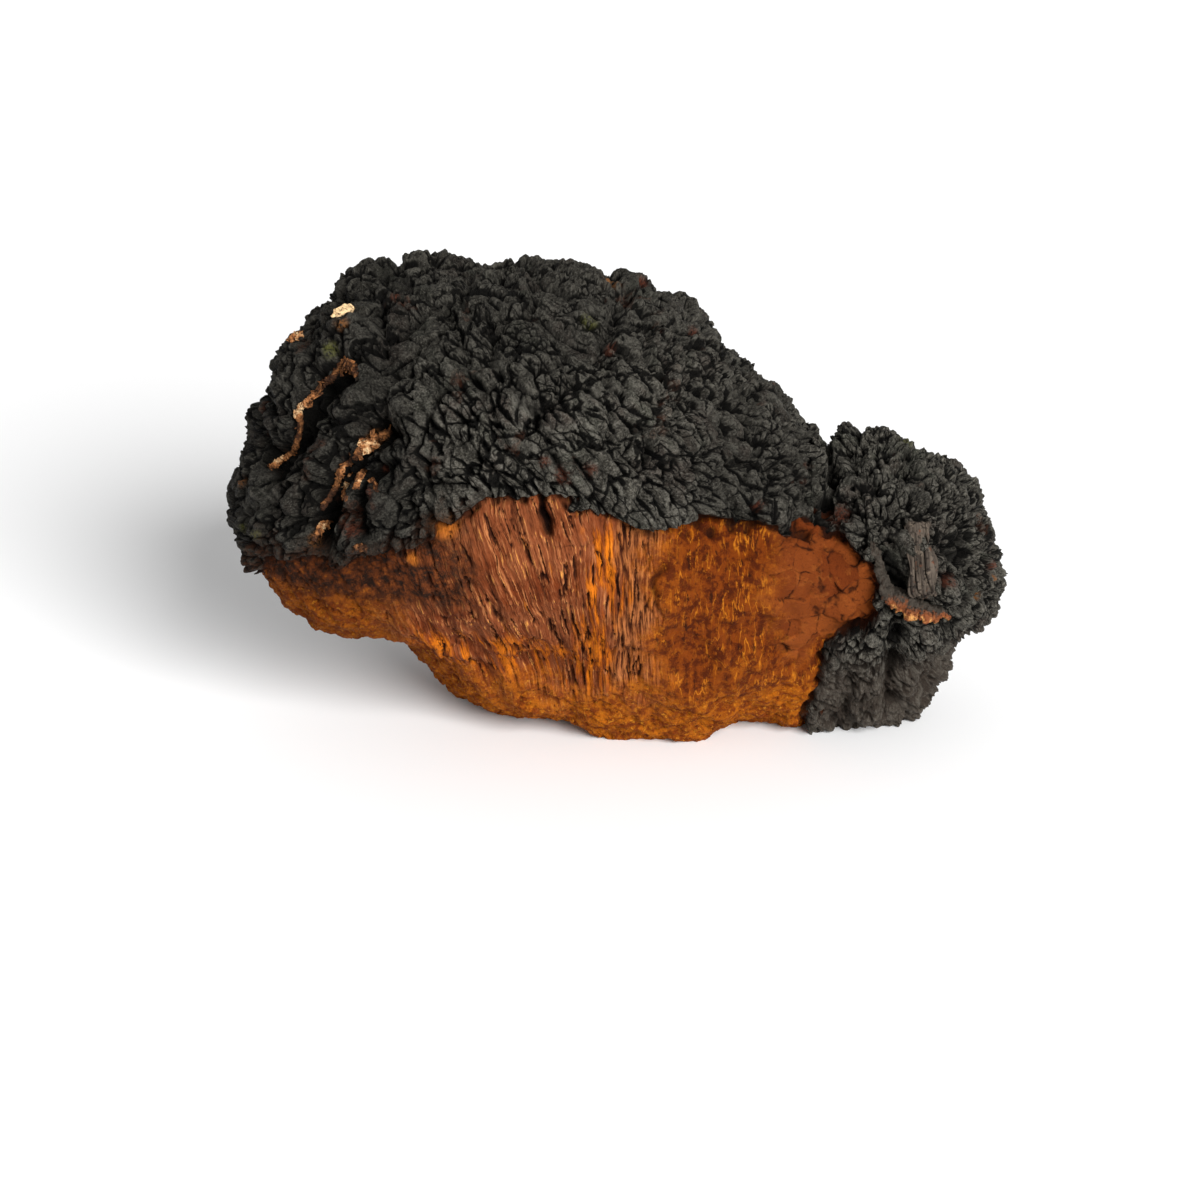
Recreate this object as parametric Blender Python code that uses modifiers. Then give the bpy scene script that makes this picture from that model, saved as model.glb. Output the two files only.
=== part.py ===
"""A chaga conk lying on its broken face, with scraps of birch bark caught in its folds.

The conk is one grown body. Ellipsoid lumps are joined and softened into its form. A relief is then
raised on the surface: folds, knobbly lumps and cracked plates where the crust is, a ledge where the
crust ends, and ridges and chipped steps on the bare core. The underside is cut flat where it rests.

All values are millimetres in the frame of the finished part: X to the right and Y away from someone
who looks at the bare core, Z up, and the origin under the middle of the body. Objects are metres.
"""

import math

import bmesh
import bpy
from mathutils import Euler, Matrix, Vector, noise
from mathutils.bvhtree import BVHTree

MM = 0.001
# The warp of the plates draws on this seed; without it each run would shift the plates
NOISE_SEED = 5

# Body lumps: centre, radii, turn about Y in degrees
LUMPS = {
    "dome": ((-31, -1, 83), (80, 64, 64), 0),
    "left_shoulder": ((-65, 2, 88), (50, 52, 54), -6),
    "left_end": ((-80, -3, 70), (42, 46, 41), 0),
    "right_slope": ((36, -3, 70), (30, 43, 41), 0),
    "brow": ((46, -8, 63), (34, 42, 24), 0),
    "core_face": ((0, -7, 60), (72, 52, 40), 0),
    "core_foot": ((14, -1, 42), (62, 50, 52), 0),
    "core_heel": ((-22, 5, 42), (54, 46, 48), 0),
    "saddle": ((50, -3, 57), (33, 42, 28), 0),
    "web": ((54, -4, 30), (30, 34, 34), 0),
    "lobe": ((83, -5, 55), (37, 40, 34), 0),
    "lobe_foot": ((79, -3, 34), (29, 29, 37), 0),
    "top_knob": ((-62, 20, 137), (11, 12, 10), 0),
    "shoulder_knob": ((-77, 15, 133), (14, 14, 12), 0),
    "slope_knob": ((20, 17, 123), (9, 12, 10), 0),
    "lobe_knob": ((80, 7, 84), (11, 12, 9), 0),
    "lobe_cheek": ((109, -13, 46), (13, 15, 13), 0),
}

# Where the bare core shows, seen from the front, as X and Z; the rest of the body is crust
CORE_OUTLINE = (
    (-118, 56), (-112, 63), (-104, 68), (-91, 68), (-81, 71), (-67, 80), (-55, 89), (-43, 96),
    (-30, 99), (-18, 99), (-6, 94), (5, 85), (25, 84), (44, 84), (66, 81), (72, 74),
    (78, 68), (82, 58), (76, 44), (68, 40), (62, 0), (62, -60), (-140, -60), (-140, 50),
)
CORE_BACK = 32.0
CORE_BACK_AT_LOBE = 4.0
LOBE_JOINT = (42.0, 58.0)
CRUST_RISE = 3.2
CORE_DROP = 1.8
LEDGE_WIDTH = 2.0
# The crust's edge wavers by these sizes and amounts, and the core is hollowed just under it
EDGE_WAVER = ((9.0, 2.6), (3.5, 1.2))
UNDERCUT_DEPTH = 1.6
UNDERCUT_FROM_EDGE = 3.0
UNDERCUT_WIDTH = 2.5

# Folds of the crust: route seen from the front as X and Z, depth, half width
FOLDS = (
    (((-84, 125), (-91, 120), (-97, 113), (-100, 104), (-107, 94)), 5.0, 3.6),
    (((-72, 113), (-77, 110), (-84, 100), (-90, 88), (-94, 76)), 6.0, 3.8),
    (((-70, 104), (-78, 98), (-80, 84)), 4.0, 3.0),
    (((83, 70), (86, 62), (91, 56), (98, 52)), 4.0, 2.8),
    (((88, 46), (86, 30), (88, 12)), 3.2, 2.8),
    (((104, 70), (108, 58), (103, 44)), 2.5, 3.4),
)
FOLDS_BACK = 14.0
FOLD_LIP = 0.45
FOLD_LIP_AT = 2.1

# Relief: size of each swell and how far it rises, plates of the crust, fibres and chips of the core
CRUST_SWELLS = ((30.0, 3.6), (13.0, 2.6))
PLATE_SIZE = 16.0
PLATE_WARP = (16.0, 3.0)
PLATE_STEP = 1.8
PLATE_CRACK = 4.4
PLATE_CRACK_WIDTH = 3.2
CORE_SWELLS = ((26.0, 2.0),)
FIBRE_RIDGES = ((6.0, 1.5), (12.0, 1.6))
FIBRE_LEAN = 0.35
FIBRE_STRETCH = 0.18
CHIP_SIZE = 17.0
CHIP_WARP = (14.0, 4.0)
CHIP_STEP = 3.2
CHIP_EDGE = 4.0
CELL_SPREAD = 7.31

COARSE_VOXEL = 3.0
FINE_VOXEL = 1.8
SOFTEN_STEPS = 9
CONK_TRIANGLES = 8600

# Bark scraps lie in pockets of the crust with a gap all round. Routes are seen from the front.
POCKET_CLEARANCE = 0.8
STRIP_RADIUS = 1.3
STRIP_STANDS_OUT = 0.9
STRIP_TAPER = 0.6
STRIPS = {
    "bark_strip_upper": ((-81, 130), (-86, 125), (-91, 121), (-96, 116), (-99, 110), (-98, 105),
                         (-102, 100), (-107, 95)),
    "bark_strip_lower": ((-68, 114), (-75, 112), (-80, 106), (-84, 99), (-89, 90)),
}
CHIP = {"at": (-88, 137), "radii": (4.2, 3.2, 2.4), "turn": (20, 25, -20)}
PLATE = {"at": (98.5, 68), "size": (8.0, 7.0, 22.0), "turn": (-8, 8, 12)}
PLATE_BEVEL = 1.2
FLAP_ROOT = ((80, -40, 58), (85, -41, 54), (91, -42, 51), (97, -41, 50), (103, -38, 52))
FLAP_REACH = 8.0
FLAP_DROOP = 3.5
FLAP_TAPER = 0.2
FLAP_THICKNESS = 1.6


def clear_scene():
    for item in list(bpy.context.scene.objects):
        bpy.data.objects.remove(item, do_unlink=True)


def collection(name):
    group = bpy.data.collections.new(name)
    bpy.context.scene.collection.children.link(group)
    return group


def finish_material(name, color, roughness):
    material = bpy.data.materials.new(name)
    material.use_nodes = True
    shader = material.node_tree.nodes["Principled BSDF"]
    shader.inputs["Base Color"].default_value = (*color, 1.0)
    shader.inputs["Roughness"].default_value = roughness
    shader.inputs["Metallic"].default_value = 0.0
    return material


def mesh_object(name, bm, group):
    mesh = bpy.data.meshes.new(name)
    bm.to_mesh(mesh)
    bm.free()
    item = bpy.data.objects.new(name, mesh)
    group.objects.link(item)
    return item


def bake_modifiers(item):
    """Replaces an object's mesh by the mesh its modifiers make."""
    graph = bpy.context.evaluated_depsgraph_get()
    mesh = bpy.data.meshes.new_from_object(item.evaluated_get(graph))
    item.modifiers.clear()
    item.data = mesh


def remesh(item, voxel):
    modifier = item.modifiers.new("Remesh", "REMESH")
    modifier.mode = "VOXEL"
    modifier.voxel_size = voxel * MM
    bake_modifiers(item)


def soften(item, steps):
    modifier = item.modifiers.new("Smooth", "SMOOTH")
    modifier.factor = 0.5
    modifier.iterations = steps
    bake_modifiers(item)


def keep_largest(item):
    """Removes loose crumbs and bubbles, so that one closed skin is left."""
    bm = bmesh.new()
    bm.from_mesh(item.data)
    unseen = set(bm.verts)
    islands = []
    while unseen:
        island = {unseen.pop()}
        front = list(island)
        while front:
            vertex = front.pop()
            for edge in vertex.link_edges:
                other = edge.other_vert(vertex)
                if other in unseen:
                    unseen.remove(other)
                    island.add(other)
                    front.append(other)
        islands.append(island)
    largest = max(islands, key=len)
    loose = [vertex for vertex in bm.verts if vertex not in largest]
    bmesh.ops.delete(bm, geom=loose, context="VERTS")
    bm.to_mesh(item.data)
    bm.free()


def joined_lumps(group):
    """All the lumps in one mesh, made one closed skin by a voxel remesh."""
    bm = bmesh.new()
    for centre, radii, turn in LUMPS.values():
        place = Matrix.LocRotScale(
            Vector(centre) * MM, Euler((0, math.radians(turn), 0)), Vector(radii) * MM
        )
        bmesh.ops.create_icosphere(bm, subdivisions=4, radius=1.0, matrix=place)
    body = mesh_object("conk", bm, group)
    remesh(body, COARSE_VOXEL)
    soften(body, SOFTEN_STEPS)
    return body


def smoothstep(low, high, value):
    part = min(max((value - low) / (high - low), 0.0), 1.0)
    return part * part * (3 - 2 * part)


def swell(p, layers):
    """Soft rises and hollows, one layer for each size and height in mm."""
    return sum(height * noise.noise(p / size) for size, height in layers)


def segment_distance(px, pz, a, b):
    """Distance from a point to a line from a to b."""
    run_x = b[0] - a[0]
    run_z = b[1] - a[1]
    along = ((px - a[0]) * run_x + (pz - a[1]) * run_z) / (run_x * run_x + run_z * run_z)
    along = min(max(along, 0.0), 1.0)
    return math.hypot(px - a[0] - along * run_x, pz - a[1] - along * run_z)


def inside_core(px, pz):
    inside = False
    for i, a in enumerate(CORE_OUTLINE):
        b = CORE_OUTLINE[i - 1]
        if (a[1] > pz) != (b[1] > pz):
            crossing = a[0] + (pz - a[1]) * (b[0] - a[0]) / (b[1] - a[1])
            inside = inside != (px < crossing)
    return inside


def crust_margin(p):
    """How far a surface point lies inside the crust, in mm; negative on the bare core."""
    waver = swell(p, EDGE_WAVER)
    distance = min(
        segment_distance(p.x, p.z, a, CORE_OUTLINE[i - 1]) for i, a in enumerate(CORE_OUTLINE)
    )
    front = -distance if inside_core(p.x, p.z) else distance
    nearer = smoothstep(*LOBE_JOINT, p.x) * (CORE_BACK - CORE_BACK_AT_LOBE)
    back = p.y - CORE_BACK + nearer
    return max(front, back) + waver


def cell_edge(p, size, warp):
    """Distance to the nearest border between warped cells, in mm, and a height for the cell."""
    warped = p + warp[1] * noise.noise_vector(p / warp[0])
    distances, points = noise.voronoi(warped / size)
    first, second = points[0], points[1]
    gap = (distances[1] ** 2 - distances[0] ** 2) / (2 * max((second - first).length, 1e-6))
    return gap * size, noise.noise(first * CELL_SPREAD)


def fold_depth(p):
    depth = 0.0
    for route, deep, half_width in FOLDS:
        away = min(
            segment_distance(p.x, p.z, a, b) for a, b in zip(route[:-1], route[1:])
        )
        if p.y < FOLDS_BACK:
            depth += deep * math.exp(-(away / half_width) ** 2)
            beside = (away / half_width - FOLD_LIP_AT) ** 2
            depth -= FOLD_LIP * deep * math.exp(-beside)
    return depth


def crust_relief(p):
    edge, cell = cell_edge(p, PLATE_SIZE, PLATE_WARP)
    crack = PLATE_CRACK * (1 - smoothstep(0.0, PLATE_CRACK_WIDTH, edge))
    return swell(p, CRUST_SWELLS) + PLATE_STEP * cell - crack - fold_depth(p)


def core_relief(p):
    slanted = Vector((p.x + FIBRE_LEAN * p.z, p.y, FIBRE_STRETCH * p.z))
    edge, cell = cell_edge(p, CHIP_SIZE, CHIP_WARP)
    chips = CHIP_STEP * cell * smoothstep(0.0, CHIP_EDGE, edge)
    return swell(slanted, FIBRE_RIDGES) + chips + swell(p, CORE_SWELLS)


def surface_rise(p):
    """How far the surface stands out from the softened lumps at a point, in mm."""
    margin = crust_margin(p)
    share = smoothstep(-LEDGE_WIDTH / 2, LEDGE_WIDTH / 2, margin)
    crust = CRUST_RISE + crust_relief(p)
    undercut = math.exp(-((margin + UNDERCUT_FROM_EDGE) / UNDERCUT_WIDTH) ** 2)
    core = core_relief(p) - CORE_DROP - UNDERCUT_DEPTH * undercut
    return share * crust + (1 - share) * core


def raise_relief(body):
    mesh = body.data
    moved = []
    for vertex in mesh.vertices:
        p = vertex.co / MM
        moved.append((p + vertex.normal * surface_rise(p)) * MM)
    for vertex, place in zip(mesh.vertices, moved):
        vertex.co = place


def thin_out(body, triangles):
    body.data.calc_loop_triangles()
    modifier = body.modifiers.new("Decimate", "DECIMATE")
    modifier.ratio = triangles / len(body.data.loop_triangles)
    modifier.use_collapse_triangulate = True
    bake_modifiers(body)


def cut_flat(body):
    """Cuts off what is below Z 0 and closes the cut with flat faces to rest on."""
    bm = bmesh.new()
    bm.from_mesh(body.data)
    everything = bm.verts[:] + bm.edges[:] + bm.faces[:]
    bmesh.ops.bisect_plane(
        bm, geom=everything, plane_co=(0, 0, 0), plane_no=(0, 0, 1), clear_inner=True
    )
    rim = [edge for edge in bm.edges if edge.is_boundary]
    bmesh.ops.holes_fill(bm, edges=rim, sides=0)
    bmesh.ops.triangulate(bm, faces=bm.faces[:])
    bm.to_mesh(body.data)
    bm.free()


def conk_body(group):
    body = joined_lumps(group)
    raise_relief(body)
    remesh(body, FINE_VOXEL)
    keep_largest(body)
    thin_out(body, CONK_TRIANGLES)
    cut_flat(body)
    return body


def front_spot(tree, x, z):
    """The point of the conk's front that is seen at X and Z, in metres."""
    return tree.ray_cast(Vector((x, -200, z)) * MM, Vector((0, 1, 0)))[0]


def outward(place, lump):
    """The way out of a lump at a point near its surface."""
    return (place - Vector(LUMPS[lump][0]) * MM).normalized()


def strip(name, tree, group):
    """A rolled strip of bark along its route, tapering to both ends."""
    curve = bpy.data.curves.new(name, "CURVE")
    curve.dimensions = "3D"
    curve.bevel_depth = STRIP_RADIUS * MM
    curve.bevel_resolution = 1
    curve.use_fill_caps = True
    route = STRIPS[name]
    spline = curve.splines.new("POLY")
    spline.points.add(len(route) - 1)
    for i, (x, z) in enumerate(route):
        spot = front_spot(tree, x, z)
        spot = spot + outward(spot, "left_end") * STRIP_STANDS_OUT * MM
        spline.points[i].co = (*spot, 1)
        spline.points[i].radius = STRIP_TAPER if i in (0, len(route) - 1) else 1.0
    guide = bpy.data.objects.new(name + "_guide", curve)
    group.objects.link(guide)
    graph = bpy.context.evaluated_depsgraph_get()
    mesh = bpy.data.meshes.new_from_object(guide.evaluated_get(graph))
    bpy.data.objects.remove(guide, do_unlink=True)
    bm = bmesh.new()
    bm.from_mesh(mesh)
    bmesh.ops.remove_doubles(bm, verts=bm.verts[:], dist=0.00001)
    bmesh.ops.recalc_face_normals(bm, faces=bm.faces[:])
    return mesh_object(name, bm, group)


def chip(name, tree, group):
    turn = Euler([math.radians(angle) for angle in CHIP["turn"]])
    place = Matrix.LocRotScale(front_spot(tree, *CHIP["at"]), turn, Vector(CHIP["radii"]) * MM)
    bm = bmesh.new()
    bmesh.ops.create_icosphere(bm, subdivisions=1, radius=1.0, matrix=place)
    return mesh_object(name, bm, group)


def plate(name, tree, group):
    turn = Euler([math.radians(angle) for angle in PLATE["turn"]])
    place = Matrix.LocRotScale(front_spot(tree, *PLATE["at"]), turn, Vector(PLATE["size"]) * MM)
    bm = bmesh.new()
    bmesh.ops.create_cube(bm, size=1.0, matrix=place)
    item = mesh_object(name, bm, group)
    bevel = item.modifiers.new("Bevel", "BEVEL")
    bevel.width = PLATE_BEVEL * MM
    bevel.segments = 2
    bake_modifiers(item)
    return item


def flap(name, tree, group):
    """A sheet of bark that stands out of the crust like a shelf and droops."""
    bm = bmesh.new()
    rows = []
    middle = len(FLAP_ROOT) // 2
    for i, root in enumerate(FLAP_ROOT):
        root = Vector(root) * MM
        out = outward(root, "lobe") * (1.0 - FLAP_TAPER * abs(i - middle)) * MM
        row = []
        for step in (0, 0.5, 1):
            droop = Vector((0, 0, FLAP_DROOP * step * step)) * MM
            row.append(bm.verts.new(root + out * FLAP_REACH * step - droop))
        rows.append(row)
    for left, right in zip(rows[:-1], rows[1:]):
        for k in range(2):
            bm.faces.new((left[k], left[k + 1], right[k + 1], right[k]))
    item = mesh_object(name, bm, group)
    solid = item.modifiers.new("Solidify", "SOLIDIFY")
    solid.thickness = FLAP_THICKNESS * MM
    solid.offset = 0
    bake_modifiers(item)
    return item


def carve_pocket(conk, piece, group):
    """Cuts the room for a piece of bark out of the conk, with a gap all round."""
    cutter = bpy.data.objects.new(piece.name + "_pocket", piece.data.copy())
    group.objects.link(cutter)
    grow = cutter.modifiers.new("Displace", "DISPLACE")
    grow.strength = POCKET_CLEARANCE * MM
    grow.mid_level = 0
    bake_modifiers(cutter)
    cutter.display_type = "WIRE"
    cutter.hide_render = True
    pocket = conk.modifiers.new("Pocket", "BOOLEAN")
    pocket.operation = "DIFFERENCE"
    pocket.object = cutter
    bake_modifiers(conk)
    keep_largest(conk)


def make_bark(conk, parts, cutters, material):
    """Each scrap of bark, and the pocket that holds it."""
    tree = BVHTree.FromObject(conk, bpy.context.evaluated_depsgraph_get())
    makers = {name: strip for name in STRIPS}
    makers.update(bark_chip=chip, bark_plate=plate, bark_flap=flap)
    for name, maker in makers.items():
        piece = maker(name, tree, parts)
        carve_pocket(conk, piece, cutters)
        piece.data.materials.append(material)


def main():
    noise.seed_set(NOISE_SEED)
    clear_scene()
    parts = collection("chaga_mushroom")
    cutters = collection("cutters")
    conk = conk_body(parts)
    make_bark(conk, parts, cutters, finish_material("birch_bark", (0.36, 0.17, 0.07), 0.8))
    conk.data.materials.clear()
    conk.data.materials.append(finish_material("charred_crust", (0.035, 0.033, 0.030), 0.75))


main()
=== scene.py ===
"""The looks of a chaga conk lying on its broken face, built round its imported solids.

The conk's skin starts from the same lumps, folds and plates as its solid. It is then remeshed finely,
and Geometry Nodes break the crust into charred blocks and the bare core into fibres, pits and flakes.
The scraps of birch bark are modelled one by one in the places of their solids.

Values are millimetres in the frame of the part: X to the right and Y away from someone who looks at
the bare core, and Z up. Meshes are in metres.
"""

import math
from functools import reduce

import bmesh
import bpy
import numpy as np
from mathutils import Euler, Matrix, Vector, noise
from mathutils.bvhtree import BVHTree
from mathutils.geometry import tessellate_polygon


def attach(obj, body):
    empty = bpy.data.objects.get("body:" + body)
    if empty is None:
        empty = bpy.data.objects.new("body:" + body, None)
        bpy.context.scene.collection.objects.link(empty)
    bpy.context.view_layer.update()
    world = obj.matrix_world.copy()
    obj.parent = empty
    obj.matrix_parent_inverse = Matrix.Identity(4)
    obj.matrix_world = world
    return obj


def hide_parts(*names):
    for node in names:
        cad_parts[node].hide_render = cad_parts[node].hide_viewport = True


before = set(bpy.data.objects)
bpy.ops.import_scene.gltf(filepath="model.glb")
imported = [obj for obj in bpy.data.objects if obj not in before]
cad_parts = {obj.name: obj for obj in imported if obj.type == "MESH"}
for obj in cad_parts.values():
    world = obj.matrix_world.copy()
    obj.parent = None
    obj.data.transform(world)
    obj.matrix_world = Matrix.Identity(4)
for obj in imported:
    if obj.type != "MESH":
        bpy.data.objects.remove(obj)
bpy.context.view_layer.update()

MM = 0.001
# The warp of the plates draws on this seed, as the solid's does
NOISE_SEED = 5

# Camera: the point it looks at, how far it stands back, how steeply it looks down, and its lens
LOOK_AT = (-6.0, -6.0, 40.0)
STAND_BACK = 1200.0
LOOK_DOWN = 23.0
SENSOR = 36.0
LENS = 111.24

# Light: a broad soft key from the front, the right and above, and the share that comes from all round
KEY_FROM = (0.52, -0.90, 0.55)
KEY_POWER = 5.2
KEY_SPREAD = 34.0
WORLD_LIGHT = 0.47

# Floor: its radius in metres, the sides of its edge, and its paint
FLOOR_RADIUS = 6.0
FLOOR_SIDES = 96
FLOOR_GREY = (0.925, 0.925, 0.925, 1)
FLOOR_ROUGHNESS = 0.7

# Body lumps: centre, radii, turn about Y in degrees
LUMPS = (
    ((-31, -1, 83), (80, 64, 64), 0),
    ((-65, 2, 88), (50, 52, 54), -6),
    ((-80, -3, 70), (42, 46, 41), 0),
    ((36, -3, 70), (30, 43, 41), 0),
    ((46, -8, 63), (34, 42, 24), 0),
    ((0, -7, 60), (72, 52, 40), 0),
    ((14, -1, 42), (62, 50, 52), 0),
    ((-22, 5, 42), (54, 46, 48), 0),
    ((50, -3, 57), (33, 42, 28), 0),
    ((54, -4, 30), (30, 34, 34), 0),
    ((83, -5, 55), (37, 40, 34), 0),
    ((79, -3, 34), (29, 29, 37), 0),
    ((-62, 20, 137), (11, 12, 10), 0),
    ((-77, 15, 133), (14, 14, 12), 0),
    ((20, 17, 123), (9, 12, 10), 0),
    ((80, 7, 84), (11, 12, 9), 0),
    ((109, -13, 46), (13, 15, 13), 0),
)

# Where the bare core shows, seen from the front, as X and Z; the rest of the body is crust
CORE_OUTLINE = (
    (-118, 56), (-112, 64), (-105, 71), (-91, 71), (-81, 73), (-67, 79), (-55, 89), (-43, 96),
    (-30, 99), (-18, 99), (-6, 94), (5, 85), (25, 84), (43, 83), (53, 80), (66, 80), (72, 74),
    (78, 68), (82, 58), (76, 44), (68, 40), (62, 0), (62, -60), (-140, -60), (-140, 50),
)
CORE_BACK = 32.0
CORE_BACK_AT_LOBE = 4.0
LOBE_JOINT = (42.0, 58.0)
CRUST_RISE = 3.2
CORE_DROP = 1.8
LEDGE_WIDTH = 1.2
EDGE_WAVER = ((9.0, 3.6), (4.0, 2.8), (1.8, 1.3))
UNDERCUT_DEPTH = 3.6
UNDERCUT_FROM_EDGE = 1.4
UNDERCUT_WIDTH = 1.3
OVERHANG = 1.6
OVERHANG_WIDTH = 1.4
OVERHANG_BAND = 6.0
SOFT_EDGE = (-66.0, -42.0)
SOFT_SHARE = 0.25

# Folds of the crust: route seen from the front as X and Z, depth, half width
FOLDS = (
    (((-84, 125), (-91, 120), (-97, 113), (-100, 104), (-107, 94)), 5.0, 3.6),
    (((-72, 113), (-77, 110), (-84, 100), (-90, 88), (-94, 76)), 6.0, 3.8),
    (((-70, 104), (-78, 98), (-80, 84)), 4.0, 3.0),
    (((83, 70), (86, 62), (91, 56), (98, 52)), 4.0, 2.8),
    (((88, 46), (86, 30), (88, 12)), 3.2, 2.8),
    (((104, 70), (108, 58), (103, 44)), 2.5, 3.4),
)
FOLDS_BACK = 14.0
FOLD_LIP = 0.45
FOLD_LIP_AT = 2.1

# Narrow creases of the crust, given as the folds are
CREASES = (
    (((-84, 125), (-91, 120), (-97, 113), (-100, 104), (-107, 94)), 4.0, 1.6),
    (((-72, 113), (-77, 110), (-84, 100), (-90, 88), (-94, 76)), 5.0, 1.8),
    (((-70, 104), (-78, 98), (-80, 84)), 4.0, 1.5),
    (((-60, 104), (-57, 96), (-60, 84)), 3.5, 1.3),
    (((-48, 132), (-54, 122), (-66, 118)), 2.0, 1.2),
    (((-110, 116), (-112, 104), (-106, 88)), 4.0, 2.0),
    (((-30, 128), (-20, 112), (-16, 98)), 2.4, 1.3),
    (((-2, 128), (8, 114), (12, 100)), 2.4, 1.3),
    (((24, 116), (34, 104), (38, 92)), 2.4, 1.3),
    (((66, 92), (68, 84), (64, 78)), 4.5, 2.2),
    (((88, 46), (86, 30), (88, 12)), 2.2, 1.2),
)

# Splits of the bare core, given as the folds are
SPLITS = (
    (((13, 74), (11, 66), (12, 56)), 3.0, 1.1),
    (((-25, 100), (-23, 92), (-21, 86)), 8.0, 1.4),
    (((-20, 80), (-12, 79), (-4, 81)), 1.2, 0.9),
    (((-46, 90), (-40, 72), (-33, 60)), 1.0, 0.9),
)

# Rounded nubs of the bare core just under the crust: X, Z, radius and height
NUBS = ((-56.0, 85.5, 3.6, 3.0), (76.5, 83.0, 3.0, 2.2), (-36.0, 62.0, 4.0, 1.8))

# Relief shared with the solid: swells, plates of the crust, fibre ridges and chips of the core
CRUST_SWELLS = ((30.0, 3.6), (13.0, 2.0), (7.5, 0.9))
PLATE_SIZE = 16.0
PLATE_WARP = (16.0, 3.0)
PLATE_STEP = 1.8
PLATE_CRACK = 3.2
PLATE_CRACK_WIDTH = 2.4
CORE_SWELLS = ((26.0, 2.0),)
FIBRE_RIDGES = ((6.0, 1.5), (12.0, 1.6))
FIBRE_LEAN = 0.35
FIBRE_STRETCH = 0.18
CHIP_SIZE = 17.0
CHIP_WARP = (14.0, 4.0)
CHIP_STEP = 3.2
CHIP_EDGE = 4.0
CELL_SPREAD = 7.31

COARSE_VOXEL = 3.0
SOFTEN_STEPS = 9
FINE_VOXEL = 0.64

# The skin is made in pieces that lie side by side along X
CONK_PIECES = ("conk_left_end", "conk_shoulder", "conk_middle", "conk_slope", "conk_lobe")

# Fine relief of the crust: patches that share a grain, plates, and the blocks that they crack into
CRUST_LOOK = {
    "Ridge Size": 4.4,
    "Ridge Height": 0.7,
    "Lump Size": 8.0,
    "Lump Height": 0.8,
    "Chunk Size": 5.2,
    "Chunk Height": 0.95,
    "Seam Depth": 0.9,
    "Crumb Size": 1.7,
    "Crumb Height": 1.0,
    "Wave": 1.0,
    "Grit": 0.45,
    "Plate Size": 4.8,
    "Plate Length": 2.3,
    "Plate Step": 1.3,
    "Plate Tilt": 0.9,
    "Shoulder Drop": 0.8,
    "Plate Crack": 1.4,
    "Plate Crack Width": 0.7,
    "Block Size": 2.8,
    "Block Step": 0.5,
    "Block Crack": 0.7,
    "Block Crack Width": 0.45,
}
PATCH_LOOK = {"Patch Size": 27.0, "Patch Crack": 0.8, "Patch Crack Width": 0.8}
FIBRE_LOOK = {
    "Fibre Width": 2.3,
    "Fibre Length": 13.0,
    "Fibre Height": 0.7,
    "Hair Width": 0.7,
    "Hair Height": 0.3,
    "Fibre Gap": 1.1,
}
FLAKE_LOOK = {
    "Flake Size": 8.0,
    "Flake Step": 1.2,
    "Flake Crack": 0.6,
    "Flake Crack Width": 0.5,
}
CORE_LOOK = {
    "Sheaf Width": 4.5,
    "Sheaf Length": 4.0,
    "Sheaf Step": 1.2,
    "Pit Size": 2.4,
    "Pit Depth": 1.1,
}
CRUST_GRAIN = -0.95
CRUST_STRETCH = 3.4
CRUMB_STRETCH = 0.5

# A flat smooth face of the lobe, seen from the front: its middle as X and Z, and its half sizes
SMOOTH_FACE = ((89.2, 69.0), (4.4, 10.5))

# Coloured spots on the skin: where they show in a picture 1200 points wide, and radius
PICTURE = 1200
RED_SPOTS = (
    (395, 296, 1.5), (388, 468, 1.8), (640, 283, 2.5), (693, 333, 2.2), (565, 475, 3.2),
    (590, 470, 2.4), (690, 530, 3.0), (840, 515, 3.5), (950, 580, 2.8), (995, 567, 2.2),
    (352, 530, 3.2), (366, 493, 2.4), (545, 462, 1.8), (610, 350, 2.0), (758, 505, 2.2),
)
GOLD_SPOTS = (
    (610, 282, 3.4), (240, 481, 2.0), (975, 595, 1.6), (994, 578, 1.4), (340, 322, 2.4),
    (412, 560, 2.2), (352, 372, 2.0), (375, 440, 3.0), (315, 540, 2.6), (445, 525, 4.2),
)
GREEN_SPOTS = ((590, 320, 2.6), (244, 528, 1.6), (255, 534, 1.8), (330, 350, 2.6), (905, 440, 2.6))

# Scraps of birch bark in the folds, each a run of picture points with half thickness and paleness
STRIP_UPPER = (
    (358, 375, 0.8, 0.2), (352, 365, 1.3, 0.4), (342, 365, 1.2, 0.4), (332, 377, 0.7, 0.0),
    (322, 385, 0.8, 0.3), (314, 393, 1.1, 0.5), (306, 402, 1.3, 0.6), (299, 409, 1.0, 1.0),
    (300, 420, 0.5, 0.3), (300, 430, 0.4, 0.3), (297, 442, 0.5, 0.4), (292, 453, 0.6, 0.6),
    (281, 460, 0.7, 0.9), (271, 468, 0.5, 0.5),
)
STRIP_LOWER = (
    (391, 431, 0.7, 0.1), (383, 435, 1.3, 0.5), (374, 439, 1.8, 0.5), (366, 443, 1.6, 0.9),
    (360, 448, 1.2, 0.8), (356, 455, 0.9, 0.1), (351, 461, 0.8, 0.0), (344, 465, 0.6, 0.5),
    (340, 473, 0.6, 0.6), (337, 483, 0.5, 0.5), (333, 491, 0.5, 0.2), (327, 500, 0.6, 0.3),
    (322, 508, 0.4, 0.1),
)
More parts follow.
